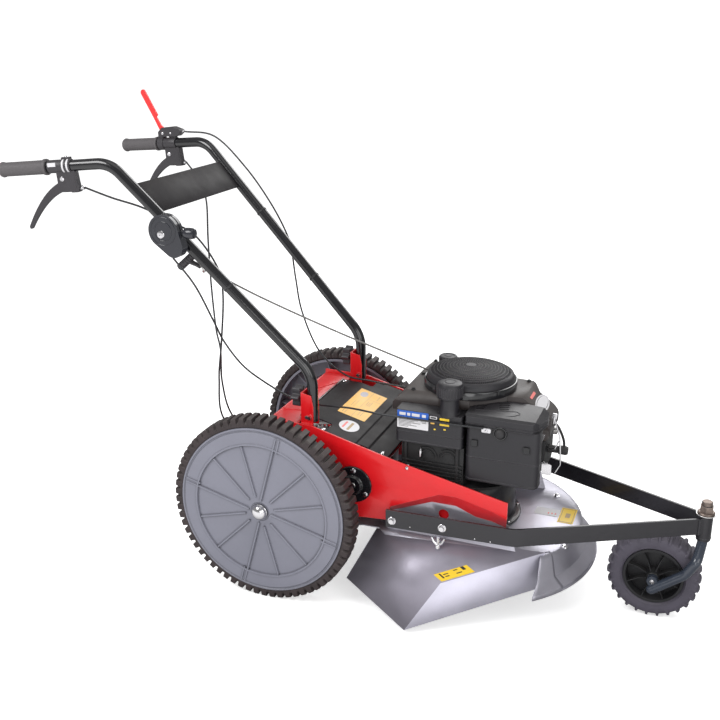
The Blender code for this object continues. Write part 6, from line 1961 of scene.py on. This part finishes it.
# ---- the CAD nodes that stay -----------------------------------------------------------------------
KEPT = {
    "main_frame": (RED, 0.0008),
    "cutter_deck": (GREY_METAL, 0.0008),
    "gearbox": (CAST_ALLOY, 0.0015),
    "gearbox_pulley": (DARK_STEEL, 0.0006),
    "drive_belt": (RUBBER, 0.0008),
    "drive_chain": (STEEL, 0.0010),
    "idler_arm": (STEEL, 0.0008),
    "idler_pulley": (STEEL, 0.0008),
    "rear_axle": (STEEL, 0.0006),
    "cross_shaft": (STEEL, 0.0006),
    "engine_block": (CAST_BLACK, 0.0020),
    "blower_housing": (ENGINE_BROWN, 0.0),
    "flywheel": (CAST_ALLOY, 0.0010),
    "crankshaft": (STEEL, 0.0006),
    "blade": (STEEL, 0.0006),
    "blade_hub": (STEEL, 0.0008),
    "crossbar_plate": (DARK_GREY, 0.0005),
}
for node, (material, bevel) in KEPT.items():
    dress(node, material, bevel)


# ---- floor, light and camera -----------------------------------------------------------------------
FLOOR_GLOW = 0.50  # lifts the floor towards the paper-white backdrop, for the camera only
CARD_GLOW = 0.70  # the floor in front of the machine as a light card, for all other rays
CARD_START, CARD_END = -0.25, -0.60  # where the card's glow starts and is full, along y
LAMP_AIM = Vector((0.0, 0.0, 0.4))
LAMPS = (
    ("key", (-1.7, -2.3, 3.0), 1.8, 62),
    ("fill", (2.9, -2.2, 1.7), 2.4, 30),
    ("back", (0.2, 3.0, 2.6), 2.6, 62),
    ("top", (0.1, -0.3, 3.6), 2.2, 8),
    ("front", (1.0, -3.0, 0.9), 1.4, 12),
)
CAMERA_AZIMUTH, CAMERA_ELEVATION = math.radians(21.16), math.radians(19.18)
CAMERA_DISTANCE = 2.112
CAMERA_TARGET = Vector((0.322, -0.437, 0.739))  # in the rear axle frame
CAMERA_LENS = 49.3


def placed(name, data, location, rotation):
    obj = bpy.data.objects.new(name, data)
    obj.location = location
    obj.rotation_euler = rotation
    bpy.context.scene.collection.objects.link(obj)
    return obj


def studio_floor():
    """A floor that the camera sees nearly white and that lights the machine from the front."""
    mesh = bpy.data.meshes.new("floor")
    grid = bmesh.new()
    bmesh.ops.create_grid(grid, x_segments=1, y_segments=1, size=14)
    grid.to_mesh(mesh)
    grid.free()
    floor = placed("floor", mesh, (0, 0, 0), (0, 0, 0))
    material = surface("pale_floor", (0.95, 0.95, 0.95), 0.80, mottle=0.005, mottle_scale=3, specular=0.1)
    n = Nodes(material.node_tree)
    shader = n.tree.nodes["Principled BSDF"].inputs
    shader["Emission Color"].default_value = (1.0, 1.0, 1.0, 1.0)
    seen = n.add("ShaderNodeLightPath").outputs["Is Camera Ray"]
    card = n.span(n.part_of("Position", "Y"), 0.0, CARD_GLOW, CARD_START, CARD_END)
    n.link(n.math("MAXIMUM", n.math("MULTIPLY", seen, FLOOR_GLOW), card), shader["Emission Strength"])
    n.link(n.math("MULTIPLY_ADD", seen, 0.60, 0.35), shader["Base Color"])
    mesh.materials.append(material)


def studio_light():
    """A white world, brighter to the camera and darker in reflections, and five round lamps."""
    world = bpy.data.worlds.new("studio")
    bpy.context.scene.world = world
    world.use_nodes = True
    n = Nodes(world.node_tree)
    background = n.tree.nodes["Background"].inputs
    background["Color"].default_value = (1.0, 1.0, 1.0, 1.0)
    rays = n.add("ShaderNodeLightPath").outputs
    seen = n.math("MULTIPLY_ADD", rays["Is Camera Ray"], 0.40, 0.72)
    n.link(n.math("MULTIPLY_ADD", rays["Is Glossy Ray"], -0.42, seen), background["Strength"])
    for name, place, size, power in LAMPS:
        lamp = bpy.data.lights.new(name, "AREA")
        lamp.shape = "DISK"
        lamp.size = size
        lamp.energy = power
        placed(name, lamp, place, (LAMP_AIM - Vector(place)).to_track_quat("-Z", "Y").to_euler())


def studio_camera():
    data = bpy.data.cameras.new("camera")
    data.sensor_width = 36.0
    data.lens = CAMERA_LENS
    level = math.cos(CAMERA_ELEVATION)
    back = Vector((
        math.sin(CAMERA_AZIMUTH) * level, -math.cos(CAMERA_AZIMUTH) * level, math.sin(CAMERA_ELEVATION),
    ))
    place = CAMERA_TARGET + ORIGIN + back * CAMERA_DISTANCE
    camera = placed("camera", data, place, (-back).to_track_quat("-Z", "Y").to_euler())
    bpy.context.scene.camera = camera
    bpy.context.scene.view_settings.view_transform = "Standard"


studio_floor()
studio_light()
studio_camera()
